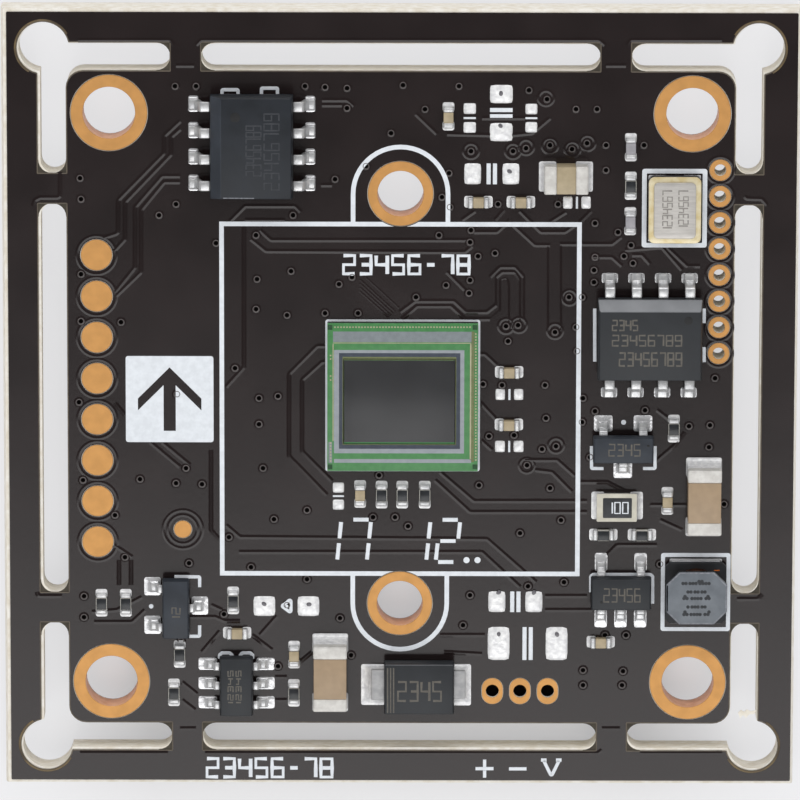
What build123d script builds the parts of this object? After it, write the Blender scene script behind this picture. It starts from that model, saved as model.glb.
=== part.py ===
from build123d import *

# A square camera circuit board with its image sensor at the centre, in millimetres.
# +Z is the front, where the sensor looks, +X is right and +Y is up as the front is seen.
# The origin is under the board's centre, at the level that the rear parts stand on.

import os
from math import cos, pi

# Board
BOARD_SIDE = 38.0
CORE_THICKNESS = 1.55
MASK_THICKNESS = 0.05
EDGE_BEVEL_WIDTH = 0.12
EDGE_BEVEL_DEPTH = 0.45
REAR_HEIGHT = 0.9

# Break-off frame: routed slots leave an outer frame held by eight bridges.
# The coating has square-ended windows for them, and the router ran a little off the windows' lines.
FRAME_WIDTH = 1.71
WINDOW_WIDTH = 1.4
SLOT_WIDTH = 1.26
SLOT_SHIFT = 0.04
CENTRE_SLOT_LENGTH = 19.0
BRIDGE_WIDTH = 1.45
CORNER_HOLE_INSET = 2.0
CORNER_HOLE_RADIUS = 1.2
INNER_CORNER_RADIUS = 0.8

# Sides of the rounds that repeat: fine holes, pads and slot ends, and the broad rings
FINE_SIDES = 10
BROAD_SIDES = 20

# Plated holes and bare pads
MOUNT_SPACING = 27.75
MOUNT_HOLE_RADIUS = 1.25
MOUNT_RING_WIDTH = 0.58
LENS_SPACING = 20.0
LENS_HOLE_RADIUS = 1.1
LENS_RING_WIDTH = 0.46
CONTACT_COUNT = 8
CONTACT_PITCH = 2.0
CONTACT_RADIUS = 0.75
CONTACT_INSET = 4.5
HEADER_COUNT = 8
HEADER_PITCH = 1.27
HEADER_HOLE_RADIUS = 0.28
HEADER_RING_WIDTH = 0.24
HEADER_INSET = 3.78
HEADER_CENTRE_Y = 6.72
CABLE_COUNT = 3
CABLE_PITCH = 1.33
CABLE_HOLE_RADIUS = 0.32
CABLE_RING_WIDTH = 0.18
CABLE_RING_STRETCH = 0.28
CABLE_INSET = 4.67
CABLE_CENTRE_X = 5.8
TEST_POINT_RADIUS = 0.425
TEST_POINT_AT = (-10.42, -6.38)
MASK_CLEARANCE = 0.06

# Printed marks
PRINT_THICKNESS = 0.03
HOLDER_SIDE = 17.28
HOLDER_LINE = 0.22
HOLDER_TAB_RADIUS = 2.37
ARROW_FIELD_SIDE = 4.2
ARROW_AT = (-11.03, 0.0)
ARROW_HALF_SPAN = 1.52
ARROW_HEIGHT = 3.1
ARROW_STROKE = 0.58
FRAME_LINE = 0.22
PART_FRAME_GAP = 0.08
BAR_WIDTH = 0.2
WIDE_PLACE_LENGTH = 0.7
SENSOR_PRINT_LINE = 0.1

# Solder lands, shared by every part that is soldered on
LAND_THICKNESS = 0.05
LAND_MARGIN = 0.1

# Image sensor package
SENSOR_SIDE = 7.2
SENSOR_AT = (0.12, 0.2)
SENSOR_JOINT_HEIGHT = 0.15
SENSOR_JOINT_RADIUS = 0.16
SENSOR_JOINT_ROWS = 3
SENSOR_JOINT_PITCH = 2.4
SENSOR_BASE_HEIGHT = 0.2
SENSOR_DIE_HEIGHT = 0.12
SENSOR_GLASS_HEIGHT = 0.3
PIXEL_WIDTH = 5.3
PIXEL_DEPTH = 4.0
PIXEL_RELIEF = 0.04
PIXEL_AT = (-0.03, 0.0)

# Eight-lead chips
CHIP_LENGTH = 5.0
CHIP_WIDTH = 3.95
CHIP_BODY_HEIGHT = 1.45
CHIP_STANDOFF = 0.15
CHIP_SPAN = 6.0
CHIP_PITCH = 1.27
CHIP_ROWS = 4
CHIP_BEVEL = 0.42
CHIP_LEAD_WIDTH = 0.48
CHIP_LEAD_THICKNESS = 0.2
CHIP_FOOT = 0.5
CHIP_LAND_WIDTH = 0.78
CHIP_LAND_OVERHANG = 0.36
DRIVER_AT = (-7.08, 12.42)
MEMORY_AT = (11.9, 3.16)

# Small moulded parts with three, five or six leads
SMALL_LENGTH = 2.9
SMALL_WIDTH = 1.3
WIDE_SMALL_WIDTH = 1.6
SMALL_BODY_HEIGHT = 0.95
SMALL_STANDOFF = 0.08
SMALL_SPAN = 2.4
WIDE_SMALL_SPAN = 2.8
SMALL_PITCH = 0.95
SMALL_LEAD_WIDTH = 0.4
SMALL_LEAD_THICKNESS = 0.13
SMALL_FOOT = 0.36
SMALL_LAND_WIDTH = 0.6
SMALL_LAND_OVERHANG = 0.44
TRANSISTOR_LAND_WIDTH = 0.9
TRANSISTOR_LAND_OVERHANG = 0.34
TRANSISTOR_RIGHT_AT = (10.68, -2.28)
TRANSISTOR_LEFT_AT = (-10.75, -10.13)
REGULATOR_AT = (10.62, -9.33)
FILTER_AT = (-7.85, -13.95)

# Moulding shared by every chip body
DRAFT_ANGLE = 8.0

# Crystal in its metal-lidded ceramic package
CRYSTAL_WIDTH = 2.5
CRYSTAL_LENGTH = 3.2
CRYSTAL_BASE_HEIGHT = 0.5
CRYSTAL_RIM_HEIGHT = 0.1
CRYSTAL_RIM_WIDTH = 0.16
CRYSTAL_LID_HEIGHT = 0.12
CRYSTAL_CORNER = 0.18
CRYSTAL_AT = (13.05, 9.33)

# Inductor on a drum core, its upper flange shorter than the lower one
INDUCTOR_WIDTH = 2.92
INDUCTOR_LENGTH = 2.98
INDUCTOR_TOP_LENGTH = 2.56
INDUCTOR_FLANGE_HEIGHT = 0.35
INDUCTOR_WAIST_HEIGHT = 0.8
INDUCTOR_WAIST_RADIUS = 0.85
INDUCTOR_WINDING_RADIUS = 1.22
INDUCTOR_LOWER_CORNER = 0.2
INDUCTOR_UPPER_CORNER = 0.62
INDUCTOR_TERMINAL_INSET = 0.6
INDUCTOR_TERMINAL_WIDTH = 0.8
INDUCTOR_TERMINAL_THICKNESS = 0.08
INDUCTOR_AT = (14.22, -9.36)

# Power diode in a flat moulded body
DIODE_LENGTH = 3.38
DIODE_WIDTH = 2.56
DIODE_BODY_HEIGHT = 1.05
DIODE_STANDOFF = 0.05
DIODE_SPAN = 5.2
DIODE_LEAD_WIDTH = 1.5
DIODE_LEAD_THICKNESS = 0.2
DIODE_FOOT = 0.6
DIODE_LAND_WIDTH = 2.1
DIODE_LAND_OVERHANG = 0.25
DIODE_AT = (0.94, -13.99)

# Two-ended parts: length, width, height and length of each metal end
LARGE_CAPACITOR = (3.2, 1.62, 1.5, 0.62)
MEDIUM_CAPACITOR = (2.1, 1.36, 1.2, 0.6)
SENSE_RESISTOR = (2.0, 1.25, 0.45, 0.4)
SMALL_CAPACITOR = (1.02, 0.52, 0.5, 0.26)
SMALL_RESISTOR = (1.02, 0.52, 0.3, 0.24)
FERRITE_BEAD = (1.02, 0.52, 0.5, 0.24)
GLAZE_THICKNESS = 0.05
PROUD = 0.025
LARGE_LAND_OVERHANG = 0.33
MEDIUM_LAND_OVERHANG = 0.24
SOLDER_SLOPE = 0.15

# Where the two-ended parts sit: x, y and the turn of their long axis in degrees
LARGE_CAPACITORS = [(14.57, -4.73, 90), (-3.34, -13.42, 90)]
MEDIUM_CAPACITORS = [(7.87, 10.85, 0)]
SENSE_RESISTORS = [(10.42, -5.16, 0)]
SMALL_CAPACITORS = [
    (2.27, 13.74, 90),
    (12.83, -4.93, 90),
    (-1.91, -4.62, 90),
    (-5.08, -12.54, 90),
    (3.71, 9.62, 0),
    (5.73, 9.62, 0),
    (5.21, 1.36, 0),
    (5.21, -1.2, 0),
    (-7.82, -11.46, 0),
    (9.68, -11.87, 0),
]
SMALL_RESISTORS = [
    (10.96, 10.41, 90),
    (13.11, -1.39, 90),
    (-14.34, -10.0, 90),
    (-13.17, -10.0, 90),
    (-8.01, -9.87, 90),
    (-10.59, -12.52, 90),
    (-10.87, -14.42, 90),
    (-5.09, -14.43, 90),
    (-0.88, -4.65, 90),
    (0.11, -4.65, 90),
    (1.19, -4.65, 90),
    (11.62, -6.59, 0),
    (9.77, -6.59, 0),
]
FERRITE_BEADS = [(10.95, 12.27, 90), (10.95, 8.7, 90)]

# Empty places: x, y, turn, distance between pad centres, pad length and pad width
OPEN_PLACES = [
    (3.28, 13.66, 90, 0.91, 0.52, 0.59),
    (4.78, 13.9, 90, 1.83, 0.88, 1.08),
    (6.21, 13.66, 90, 0.88, 0.51, 0.57),
    (-2.95, -4.73, 90, 0.84, 0.5, 0.54),
    (4.34, 10.97, 0, 1.82, 0.8, 1.01),
    (8.4, 9.59, 0, 0.87, 0.45, 0.59),
    (5.23, 0.26, 0, 0.88, 0.45, 0.54),
    (5.23, -2.28, 0, 0.89, 0.48, 0.56),
    (5.56, -9.91, 0, 1.78, 0.82, 1.02),
    (6.16, -11.97, 0, 2.79, 1.05, 1.63),
    (-5.45, -10.15, 0, 2.12, 1.04, 0.97),
]

# Rear side: image processor, three-way cable socket and its supply capacitors
PROCESSOR_SIDE = 9.0
PROCESSOR_AT = (0.0, 0.0)
PROCESSOR_PAD_COUNT = 5
PROCESSOR_PAD_PITCH = 1.6
PROCESSOR_PAD_LENGTH = 0.45
PROCESSOR_PAD_WIDTH = 0.6
SOCKET_LENGTH = 6.0
SOCKET_DEPTH = 3.4
SOCKET_WALL = 0.22
SOCKET_FLOOR = 0.25
REAR_CAPACITORS = [(6.4, 3.4, 90), (-6.4, -3.4, 90)]

# Levels above the ground
REAR_FACE = REAR_HEIGHT
CORE_TOP = REAR_FACE + CORE_THICKNESS
FACE = CORE_TOP + MASK_THICKNESS
SEAT = FACE + LAND_THICKNESS

# Places that follow from the board
HALF = BOARD_SIDE / 2
WINDOW_LINE = HALF - FRAME_WIDTH - WINDOW_WIDTH / 2
SLOT_LINE = WINDOW_LINE - SLOT_SHIFT
CORNER_LINE = HALF - CORNER_HOLE_INSET
ARM_END = CENTRE_SLOT_LENGTH / 2 + BRIDGE_WIDTH
LOW = (Align.CENTER, Align.CENTER, Align.MIN)
QUARTERS = (0, 90, 180, 270)


def block(width, depth, height, x=0.0, y=0.0, z=0.0):
    """A box standing on level z with its centre at x, y."""
    return Pos(x, y, z) * Box(width, depth, height, align=LOW)


def plate(outline, thickness, level):
    """A flat outline given thickness, its underside on the level."""
    return Pos(0, 0, level) * extrude(outline, thickness)


def turned(shape, x, y, turn=0.0):
    """The shape turned about Z and moved to x, y."""
    return Pos(x, y, 0) * Rot(0, 0, turn) * shape


def save(name, *shapes):
    """Writes one sub-part, with its separate solids side by side."""
    solids = [solid for shape in shapes for solid in shape.solids()]
    export_step(Compound(solids), f"parts/{name}.step")


def row_places(count, pitch):
    """Positions of evenly spaced things about zero."""
    return [(i - (count - 1) / 2) * pitch for i in range(count)]


# Places of the holes and pads

def mount_places():
    """The four mounting holes."""
    half = MOUNT_SPACING / 2
    return [(x, y) for x in (-half, half) for y in (-half, half)]


def lens_places():
    """The two holes that hold the lens holder's screws."""
    return [(0, LENS_SPACING / 2), (0, -LENS_SPACING / 2)]


def contact_places():
    """The column of round contact pads on the left."""
    return [(CONTACT_INSET - HALF, y) for y in row_places(CONTACT_COUNT, CONTACT_PITCH)]


def header_places():
    """The column of small plated holes on the right."""
    return [(HALF - HEADER_INSET, HEADER_CENTRE_Y + y) for y in row_places(HEADER_COUNT, HEADER_PITCH)]


def cable_places():
    """The row of oval-ringed holes in front of the rear socket."""
    return [(CABLE_CENTRE_X + x, CABLE_INSET - HALF) for x in row_places(CABLE_COUNT, CABLE_PITCH)]


def cable_outline(grow=0.0):
    """An oval ring's outside, standing upright."""
    radius = CABLE_HOLE_RADIUS + CABLE_RING_WIDTH + grow
    half = CABLE_RING_STRETCH / 2
    ends = at_each([(0, -half), (0, half)], few_sided(radius))
    return ends + Rectangle(2 * radius, CABLE_RING_STRETCH)


def few_sided(radius, sides=FINE_SIDES):
    """A round drawn with flat sides that touch its circle from outside."""
    return RegularPolygon(radius / cos(pi / sides), sides)


def routed_slot(length):
    """A round-ended slot along X as the router leaves it."""
    straight = length - SLOT_WIDTH
    end = few_sided(SLOT_WIDTH / 2)
    return Rectangle(straight, SLOT_WIDTH) + at_each([(-straight / 2, 0), (straight / 2, 0)], end)


def at_each(places, outline):
    """One outline repeated at every place."""
    return Sketch() + [Pos(x, y) * outline for x, y in places]


# Board

def slot_set(line, width, long_slot, arm, hole_radius):
    """A long opening along each side and a two-armed one at each corner, with a hole in its bend."""
    outer = line + width / 2
    inner = line - width / 2
    middle = (ARM_END + outer) / 2
    arms = Pos(middle, line) * arm + Pos(line, middle) * Rot(0, 0, 90) * arm
    relief = Rectangle(INNER_CORNER_RADIUS, INNER_CORNER_RADIUS, align=(Align.MAX, Align.MAX))
    relief -= Pos(-INNER_CORNER_RADIUS, -INNER_CORNER_RADIUS) * few_sided(INNER_CORNER_RADIUS)
    hole = Pos(CORNER_LINE, CORNER_LINE) * few_sided(hole_radius, BROAD_SIDES)
    quarter = Pos(0, line) * long_slot + arms + Pos(inner, inner) * relief + hole
    return Sketch() + [Rot(0, 0, turn) * quarter for turn in QUARTERS]


def routed_slots():
    """The slots through the board, all moved the same way off the lines of their windows."""
    arm = routed_slot(SLOT_LINE + SLOT_WIDTH / 2 - ARM_END)
    long_slot = routed_slot(CENTRE_SLOT_LENGTH)
    openings = slot_set(SLOT_LINE, SLOT_WIDTH, long_slot, arm, CORNER_HOLE_RADIUS)
    return Pos(SLOT_SHIFT, SLOT_SHIFT) * openings


def slot_windows():
    """The square-ended windows that the coating leaves round the slots."""
    arm = Rectangle(WINDOW_LINE + WINDOW_WIDTH / 2 - ARM_END, WINDOW_WIDTH)
    long_slot = Rectangle(CENTRE_SLOT_LENGTH, WINDOW_WIDTH)
    hole_radius = CORNER_HOLE_RADIUS + (WINDOW_WIDTH - SLOT_WIDTH) / 2
    return slot_set(WINDOW_LINE, WINDOW_WIDTH, long_slot, arm, hole_radius)


def round_holes():
    """Every drilled hole of the board."""
    return (
        at_each(mount_places(), Circle(MOUNT_HOLE_RADIUS))
        + at_each(lens_places(), Circle(LENS_HOLE_RADIUS))
        + at_each(header_places(), few_sided(HEADER_HOLE_RADIUS))
        + at_each(cable_places(), few_sided(CABLE_HOLE_RADIUS))
    )


def board_core():
    """The glass-epoxy core, snapped from its panel along a scored groove on each side."""
    outline = Rectangle(BOARD_SIDE, BOARD_SIDE)
    blank = plate(outline, CORE_THICKNESS, REAR_FACE)
    for face in blank.faces().sort_by(Axis.Z)[:: len(blank.faces()) - 1]:
        blank = chamfer(face.edges(), EDGE_BEVEL_DEPTH, EDGE_BEVEL_WIDTH, reference=face)
    return blank - plate(routed_slots() + round_holes(), CORE_THICKNESS, REAR_FACE)


def front_mask():
    """The dark coating of the front face, open over every pad, ring and slot."""
    side = BOARD_SIDE - 2 * EDGE_BEVEL_WIDTH
    gap = MASK_CLEARANCE
    mount = few_sided(MOUNT_HOLE_RADIUS + MOUNT_RING_WIDTH + gap, BROAD_SIDES)
    lens = few_sided(LENS_HOLE_RADIUS + LENS_RING_WIDTH + gap, BROAD_SIDES)
    openings = [
        slot_windows() + routed_slots(),
        at_each(mount_places(), mount),
        at_each(lens_places(), lens),
        at_each(header_places(), few_sided(HEADER_HOLE_RADIUS + HEADER_RING_WIDTH + gap)),
        at_each(cable_places(), cable_outline(gap)),
        at_each(contact_places(), few_sided(CONTACT_RADIUS + gap)),
        at_each([TEST_POINT_AT], few_sided(TEST_POINT_RADIUS + gap)),
    ]
    mask = plate(Rectangle(side, side), MASK_THICKNESS, CORE_TOP)
    for opening in openings:
        mask -= plate(opening, MASK_THICKNESS, CORE_TOP)
    return mask


def rings(places, hole_radius, ring_width, sides):
    """Gold rings round plated holes, flush with the coating."""
    outline = few_sided(hole_radius + ring_width, sides) - few_sided(hole_radius, sides)
    return plate(at_each(places, outline), MASK_THICKNESS, CORE_TOP)


def cable_rings():
    """Oval gold rings in front of the rear socket."""
    outline = cable_outline() - few_sided(CABLE_HOLE_RADIUS)
    return plate(at_each(cable_places(), outline), MASK_THICKNESS, CORE_TOP)


def gold_discs(places, radius):
    """Bare round gold pads, flush with the coating."""
    return plate(at_each(places, few_sided(radius)), MASK_THICKNESS, CORE_TOP)


# Printed marks

def holder_tab(radius):
    """A round-ended tab of the lens holder, from the board's centre to its screw hole."""
    tab = Pos(0, LENS_SPACING / 4) * Rectangle(2 * radius, LENS_SPACING / 2)
    return tab + Pos(0, LENS_SPACING / 2) * few_sided(radius, BROAD_SIDES)


def holder_print():
    """The printed outline of the lens holder: a square line and an arch at each screw hole."""
    inner_side = HOLDER_SIDE - 2 * HOLDER_LINE
    arch = holder_tab(HOLDER_TAB_RADIUS) - holder_tab(HOLDER_TAB_RADIUS - HOLDER_LINE)
    arch -= Rectangle(inner_side, inner_side)
    outline = frame_line(HOLDER_SIDE, HOLDER_SIDE, HOLDER_LINE) + arch + Rot(0, 0, 180) * arch
    ring = few_sided(LENS_HOLE_RADIUS + LENS_RING_WIDTH + MASK_CLEARANCE, BROAD_SIDES)
    return plate(outline - at_each(lens_places(), ring), PRINT_THICKNESS, FACE)


def arrow_print():
    """A printed square with an upward arrow left open in it."""
    half = ARROW_STROKE / 2
    top = ARROW_HEIGHT / 2
    shoulder = top - ARROW_HALF_SPAN
    points = [
        (0, top),
        (ARROW_HALF_SPAN, shoulder),
        (ARROW_HALF_SPAN, shoulder - ARROW_STROKE),
        (half, top - half - ARROW_STROKE),
        (half, -top),
    ]
    mirrored = [(-x, y) for x, y in reversed(points[1:])]
    arrow = make_face(Polyline(*points, *mirrored, close=True))
    field = Rectangle(ARROW_FIELD_SIDE, ARROW_FIELD_SIDE) - arrow
    return plate(Pos(*ARROW_AT) * field, PRINT_THICKNESS, FACE)


def frame_line(width, depth, line):
    """A rectangular printed line round a part."""
    return Rectangle(width, depth) - Rectangle(width - 2 * line, depth - 2 * line)


def part_frames_print():
    """Printed frames round the sensor, the crystal and the inductor."""
    grow = 2 * (PART_FRAME_GAP + FRAME_LINE)
    crystal = frame_line(CRYSTAL_WIDTH + grow, CRYSTAL_LENGTH + grow, FRAME_LINE)
    inductor_depth = INDUCTOR_LENGTH + 2 * LAND_MARGIN + grow
    inductor = frame_line(INDUCTOR_WIDTH + grow, inductor_depth, FRAME_LINE)
    side = SENSOR_SIDE + 2 * SENSOR_PRINT_LINE
    sensor = frame_line(side, side, SENSOR_PRINT_LINE)
    frames = [
        Pos(*CRYSTAL_AT) * crystal,
        Pos(*INDUCTOR_AT) * inductor,
        Pos(*SENSOR_AT) * sensor,
    ]
    return plate(Sketch() + frames, PRINT_THICKNESS, FACE)


def place_bars_print():
    """Printed bars between the pads of the empty places."""
    bars = []
    for x, y, turn, spacing, length, width in OPEN_PLACES[:-1]:
        room = spacing - length
        thick = min(BAR_WIDTH, room / 4)
        offsets = (-thick * 0.75, thick * 0.75) if length > WIDE_PLACE_LENGTH else (0,)
        for offset in offsets:
            bar = Pos(offset, 0) * Rectangle(thick, width)
            bars.append(Pos(x, y) * Rot(0, 0, turn) * bar)
    return plate(Sketch() + bars, PRINT_THICKNESS, FACE)


def open_pads():
    """Tinned pads of the places that carry no part."""
    pads = []
    for x, y, turn, spacing, length, width in OPEN_PLACES:
        for side in (-1, 1):
            pad = block(length, width, LAND_THICKNESS, side * spacing / 2, 0, FACE)
            pads.append(turned(pad, x, y, turn))
    return pads


# Chips

def moulded_body(length, width, height, band, level):
    """A moulded body with drafted sides above and below a straight band at mid height."""
    shell = (height - band) / 2
    outline = Rectangle(length, width)
    lower = Pos(0, 0, level + shell) * Rot(180, 0, 0) * extrude(outline, shell, taper=DRAFT_ANGLE)
    middle = Pos(0, 0, level + shell) * extrude(outline, band)
    upper = Pos(0, 0, level + shell + band) * extrude(outline, shell, taper=DRAFT_ANGLE)
    return lower + middle + upper


def gull_wing(inner, outer, drop, thickness, width, foot):
    """One formed lead: straight out of the body, a slanted drop, then a flat foot on its land."""
    lean = (outer - inner - foot) / 3
    heel = outer - foot
    knee = heel - lean
    bend = min(thickness / 2, lean)
    points = [
        (inner, drop),
        (knee - bend, drop),
        (knee, drop - bend),
        (heel - bend / 2, bend),
        (heel + bend / 2, 0),
        (outer, 0),
        (outer, thickness),
        (heel + thickness, thickness),
        (heel + thickness - bend / 2, thickness + bend),
        (knee + thickness, drop + thickness - bend),
        (knee + thickness - bend, drop + thickness),
        (inner, drop + thickness),
    ]
    profile = Plane.XZ * make_face(Polyline(*points, close=True))
    return Pos(0, width / 2, SEAT) * extrude(profile, width)


def lead_row(places, lead, side):
    """The same lead at each place of one side of a body, side 1 for +X and -1 for -X."""
    turn = 0 if side > 0 else 180
    return [Pos(0, y, 0) * Rot(0, 0, turn) * lead for y in places]


def land_row(places, inner, outer, width, side):
    """Solder lands under one row of leads."""
    length = outer - inner
    return [block(length, width, LAND_THICKNESS, side * (inner + outer) / 2, y, FACE) for y in places]


def eight_lead_body():
    """The moulded body of an eight-lead chip, bevelled along the side of its first lead."""
    level = SEAT + CHIP_STANDOFF
    body = moulded_body(CHIP_WIDTH, CHIP_LENGTH, CHIP_BODY_HEIGHT, CHIP_LEAD_THICKNESS, level)
    top_edge = body.edges().filter_by(Axis.Y).sort_by(Axis.Z)[-2:].sort_by(Axis.X)[-1]
    return chamfer(top_edge, CHIP_BEVEL)


def eight_lead_leads():
    """Both rows of leads of an eight-lead chip, and their lands."""
    places = row_places(CHIP_ROWS, CHIP_PITCH)
    drop = CHIP_STANDOFF + (CHIP_BODY_HEIGHT - CHIP_LEAD_THICKNESS) / 2
    half = CHIP_SPAN / 2
    lead = gull_wing(
        CHIP_WIDTH / 2, half, drop, CHIP_LEAD_THICKNESS, CHIP_LEAD_WIDTH, CHIP_FOOT
    )
    leads, lands = [], []
    for side in (-1, 1):
        leads += lead_row(places, lead, side)
        inner = half - CHIP_FOOT - LAND_MARGIN
        lands += land_row(places, inner, half + CHIP_LAND_OVERHANG, CHIP_LAND_WIDTH, side)
    return leads, lands


def small_leads(width, span, left, right, land_width, overhang):
    """Leads and lands of a small moulded part, at the given places on its left and right."""
    drop = SMALL_STANDOFF + (SMALL_BODY_HEIGHT - SMALL_LEAD_THICKNESS) / 2
    lead = gull_wing(
        width / 2, span / 2, drop, SMALL_LEAD_THICKNESS, SMALL_LEAD_WIDTH, SMALL_FOOT
    )
    leads, lands = [], []
    for side, places in ((-1, left), (1, right)):
        leads += lead_row(places, lead, side)
        inner = span / 2 - SMALL_FOOT - LAND_MARGIN
        lands += land_row(places, inner, span / 2 + overhang, land_width, side)
    return leads, lands


def small_body(width):
    """The moulded body of a small part, its long side along Y."""
    level = SEAT + SMALL_STANDOFF
    return moulded_body(width, SMALL_LENGTH, SMALL_BODY_HEIGHT, SMALL_LEAD_THICKNESS, level)


def save_chip(name, body, leads, lands, place, turn):
    """Puts a chip on the board and writes its body and leads, returning its lands there."""
    save(f"{name}_body", turned(body, *place, turn))
    save(f"{name}_leads", *[turned(lead, *place, turn) for lead in leads])
    return [turned(land, *place, turn) for land in lands]


def save_chips():
    """Writes every leaded chip and returns their lands."""
    lands = []
    leads, under = eight_lead_leads()
    lands += save_chip("driver", eight_lead_body(), leads, under, DRIVER_AT, 180)
    lands += save_chip("memory", eight_lead_body(), leads, under, MEMORY_AT, 90)
    ends = [-SMALL_PITCH, SMALL_PITCH]
    wide = (TRANSISTOR_LAND_WIDTH, TRANSISTOR_LAND_OVERHANG)
    leads, under = small_leads(SMALL_WIDTH, SMALL_SPAN, ends, [0], *wide)
    lands += save_chip("transistor_left", small_body(SMALL_WIDTH), leads, under, TRANSISTOR_LEFT_AT, 0)
    lands += save_chip("transistor_right", small_body(SMALL_WIDTH), leads, under, TRANSISTOR_RIGHT_AT, -90)
    all_three = row_places(3, SMALL_PITCH)
    narrow = (SMALL_LAND_WIDTH, SMALL_LAND_OVERHANG)
    leads, under = small_leads(WIDE_SMALL_WIDTH, WIDE_SMALL_SPAN, ends, all_three, *narrow)
    lands += save_chip("regulator", small_body(WIDE_SMALL_WIDTH), leads, under, REGULATOR_AT, -90)
    leads, under = small_leads(WIDE_SMALL_WIDTH, WIDE_SMALL_SPAN, all_three, all_three, *narrow)
    lands += save_chip("filter", small_body(WIDE_SMALL_WIDTH), leads, under, FILTER_AT, 0)
    return lands


def save_diode():
    """The power diode: flat moulded body and two broad bent terminals."""
    level = SEAT + DIODE_STANDOFF
    body = moulded_body(DIODE_LENGTH, DIODE_WIDTH, DIODE_BODY_HEIGHT, DIODE_LEAD_THICKNESS, level)
    drop = DIODE_STANDOFF + (DIODE_BODY_HEIGHT - DIODE_LEAD_THICKNESS) / 2
    half = DIODE_SPAN / 2
    lead = gull_wing(
        DIODE_LENGTH / 2, half, drop, DIODE_LEAD_THICKNESS, DIODE_LEAD_WIDTH, DIODE_FOOT
    )
    leads, lands = [], []
    for side in (-1, 1):
        leads += lead_row([0], lead, side)
        inner = half - DIODE_FOOT - LAND_MARGIN
        lands += land_row([0], inner, half + DIODE_LAND_OVERHANG, DIODE_LAND_WIDTH, side)
    return save_chip("diode", body, leads, lands, DIODE_AT, 0)


# Image sensor

def save_sensor():
    """The sensor package: joints, base, die with its pixel area, and cover glass."""
    x, y = SENSOR_AT
    joint = RegularPolygon(SENSOR_JOINT_RADIUS, 6)
    places = row_places(SENSOR_JOINT_ROWS, SENSOR_JOINT_PITCH)
    grid = at_each([(x + i, y + j) for i in places for j in places], joint)
    save("sensor_joints", plate(grid, SENSOR_JOINT_HEIGHT, FACE))
    level = FACE + SENSOR_JOINT_HEIGHT
    save("sensor_base", block(SENSOR_SIDE, SENSOR_SIDE, SENSOR_BASE_HEIGHT, x, y, level))
    level += SENSOR_BASE_HEIGHT
    pocket = block(PIXEL_WIDTH, PIXEL_DEPTH, PIXEL_RELIEF, *PIXEL_AT, level + SENSOR_DIE_HEIGHT - PIXEL_RELIEF)
    save("sensor_die", block(SENSOR_SIDE, SENSOR_SIDE, SENSOR_DIE_HEIGHT, x, y, level) - pocket)
    save("sensor_pixels", pocket)
    level += SENSOR_DIE_HEIGHT
    glass = block(SENSOR_SIDE, SENSOR_SIDE, SENSOR_GLASS_HEIGHT, x, y, level)
    save("sensor_glass", glass)


# Crystal and inductor

def save_crystal():
    """The crystal's ceramic base, gold-plated seal ring and metal lid."""
    outline = chamfer(Rectangle(CRYSTAL_WIDTH, CRYSTAL_LENGTH).vertices(), CRYSTAL_CORNER)
    base = plate(outline, CRYSTAL_BASE_HEIGHT, SEAT)
    level = SEAT + CRYSTAL_BASE_HEIGHT
    inner_width = CRYSTAL_WIDTH - 2 * CRYSTAL_RIM_WIDTH
    inner_length = CRYSTAL_LENGTH - 2 * CRYSTAL_RIM_WIDTH
    lid_outline = Rectangle(inner_width, inner_length)
    rim = plate(outline, CRYSTAL_RIM_HEIGHT, level)
    lid = plate(lid_outline, CRYSTAL_LID_HEIGHT, level + CRYSTAL_RIM_HEIGHT)
    lid = chamfer(lid.faces().sort_by(Axis.Z)[-1].edges(), CRYSTAL_LID_HEIGHT / 2)
    save("crystal_base", turned(base, *CRYSTAL_AT))
    save("crystal_rim", turned(rim, *CRYSTAL_AT))
    save("crystal_lid", turned(lid, *CRYSTAL_AT))
    lands = []
    land_width, land_length = CRYSTAL_WIDTH / 3, CRYSTAL_LENGTH / 3
    for i in (-1, 1):
        for j in (-1, 1):
            at_x = i * (CRYSTAL_WIDTH - land_width) / 2
            at_y = j * (CRYSTAL_LENGTH - land_length) / 2
            lands.append(block(land_width, land_length, LAND_THICKNESS, at_x, at_y, FACE))
    return [turned(land, *CRYSTAL_AT) for land in lands]


def octagon(width, length, corner):
    """A rectangle with its corners cut off."""
    return chamfer(Rectangle(width, length).vertices(), corner)


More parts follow.
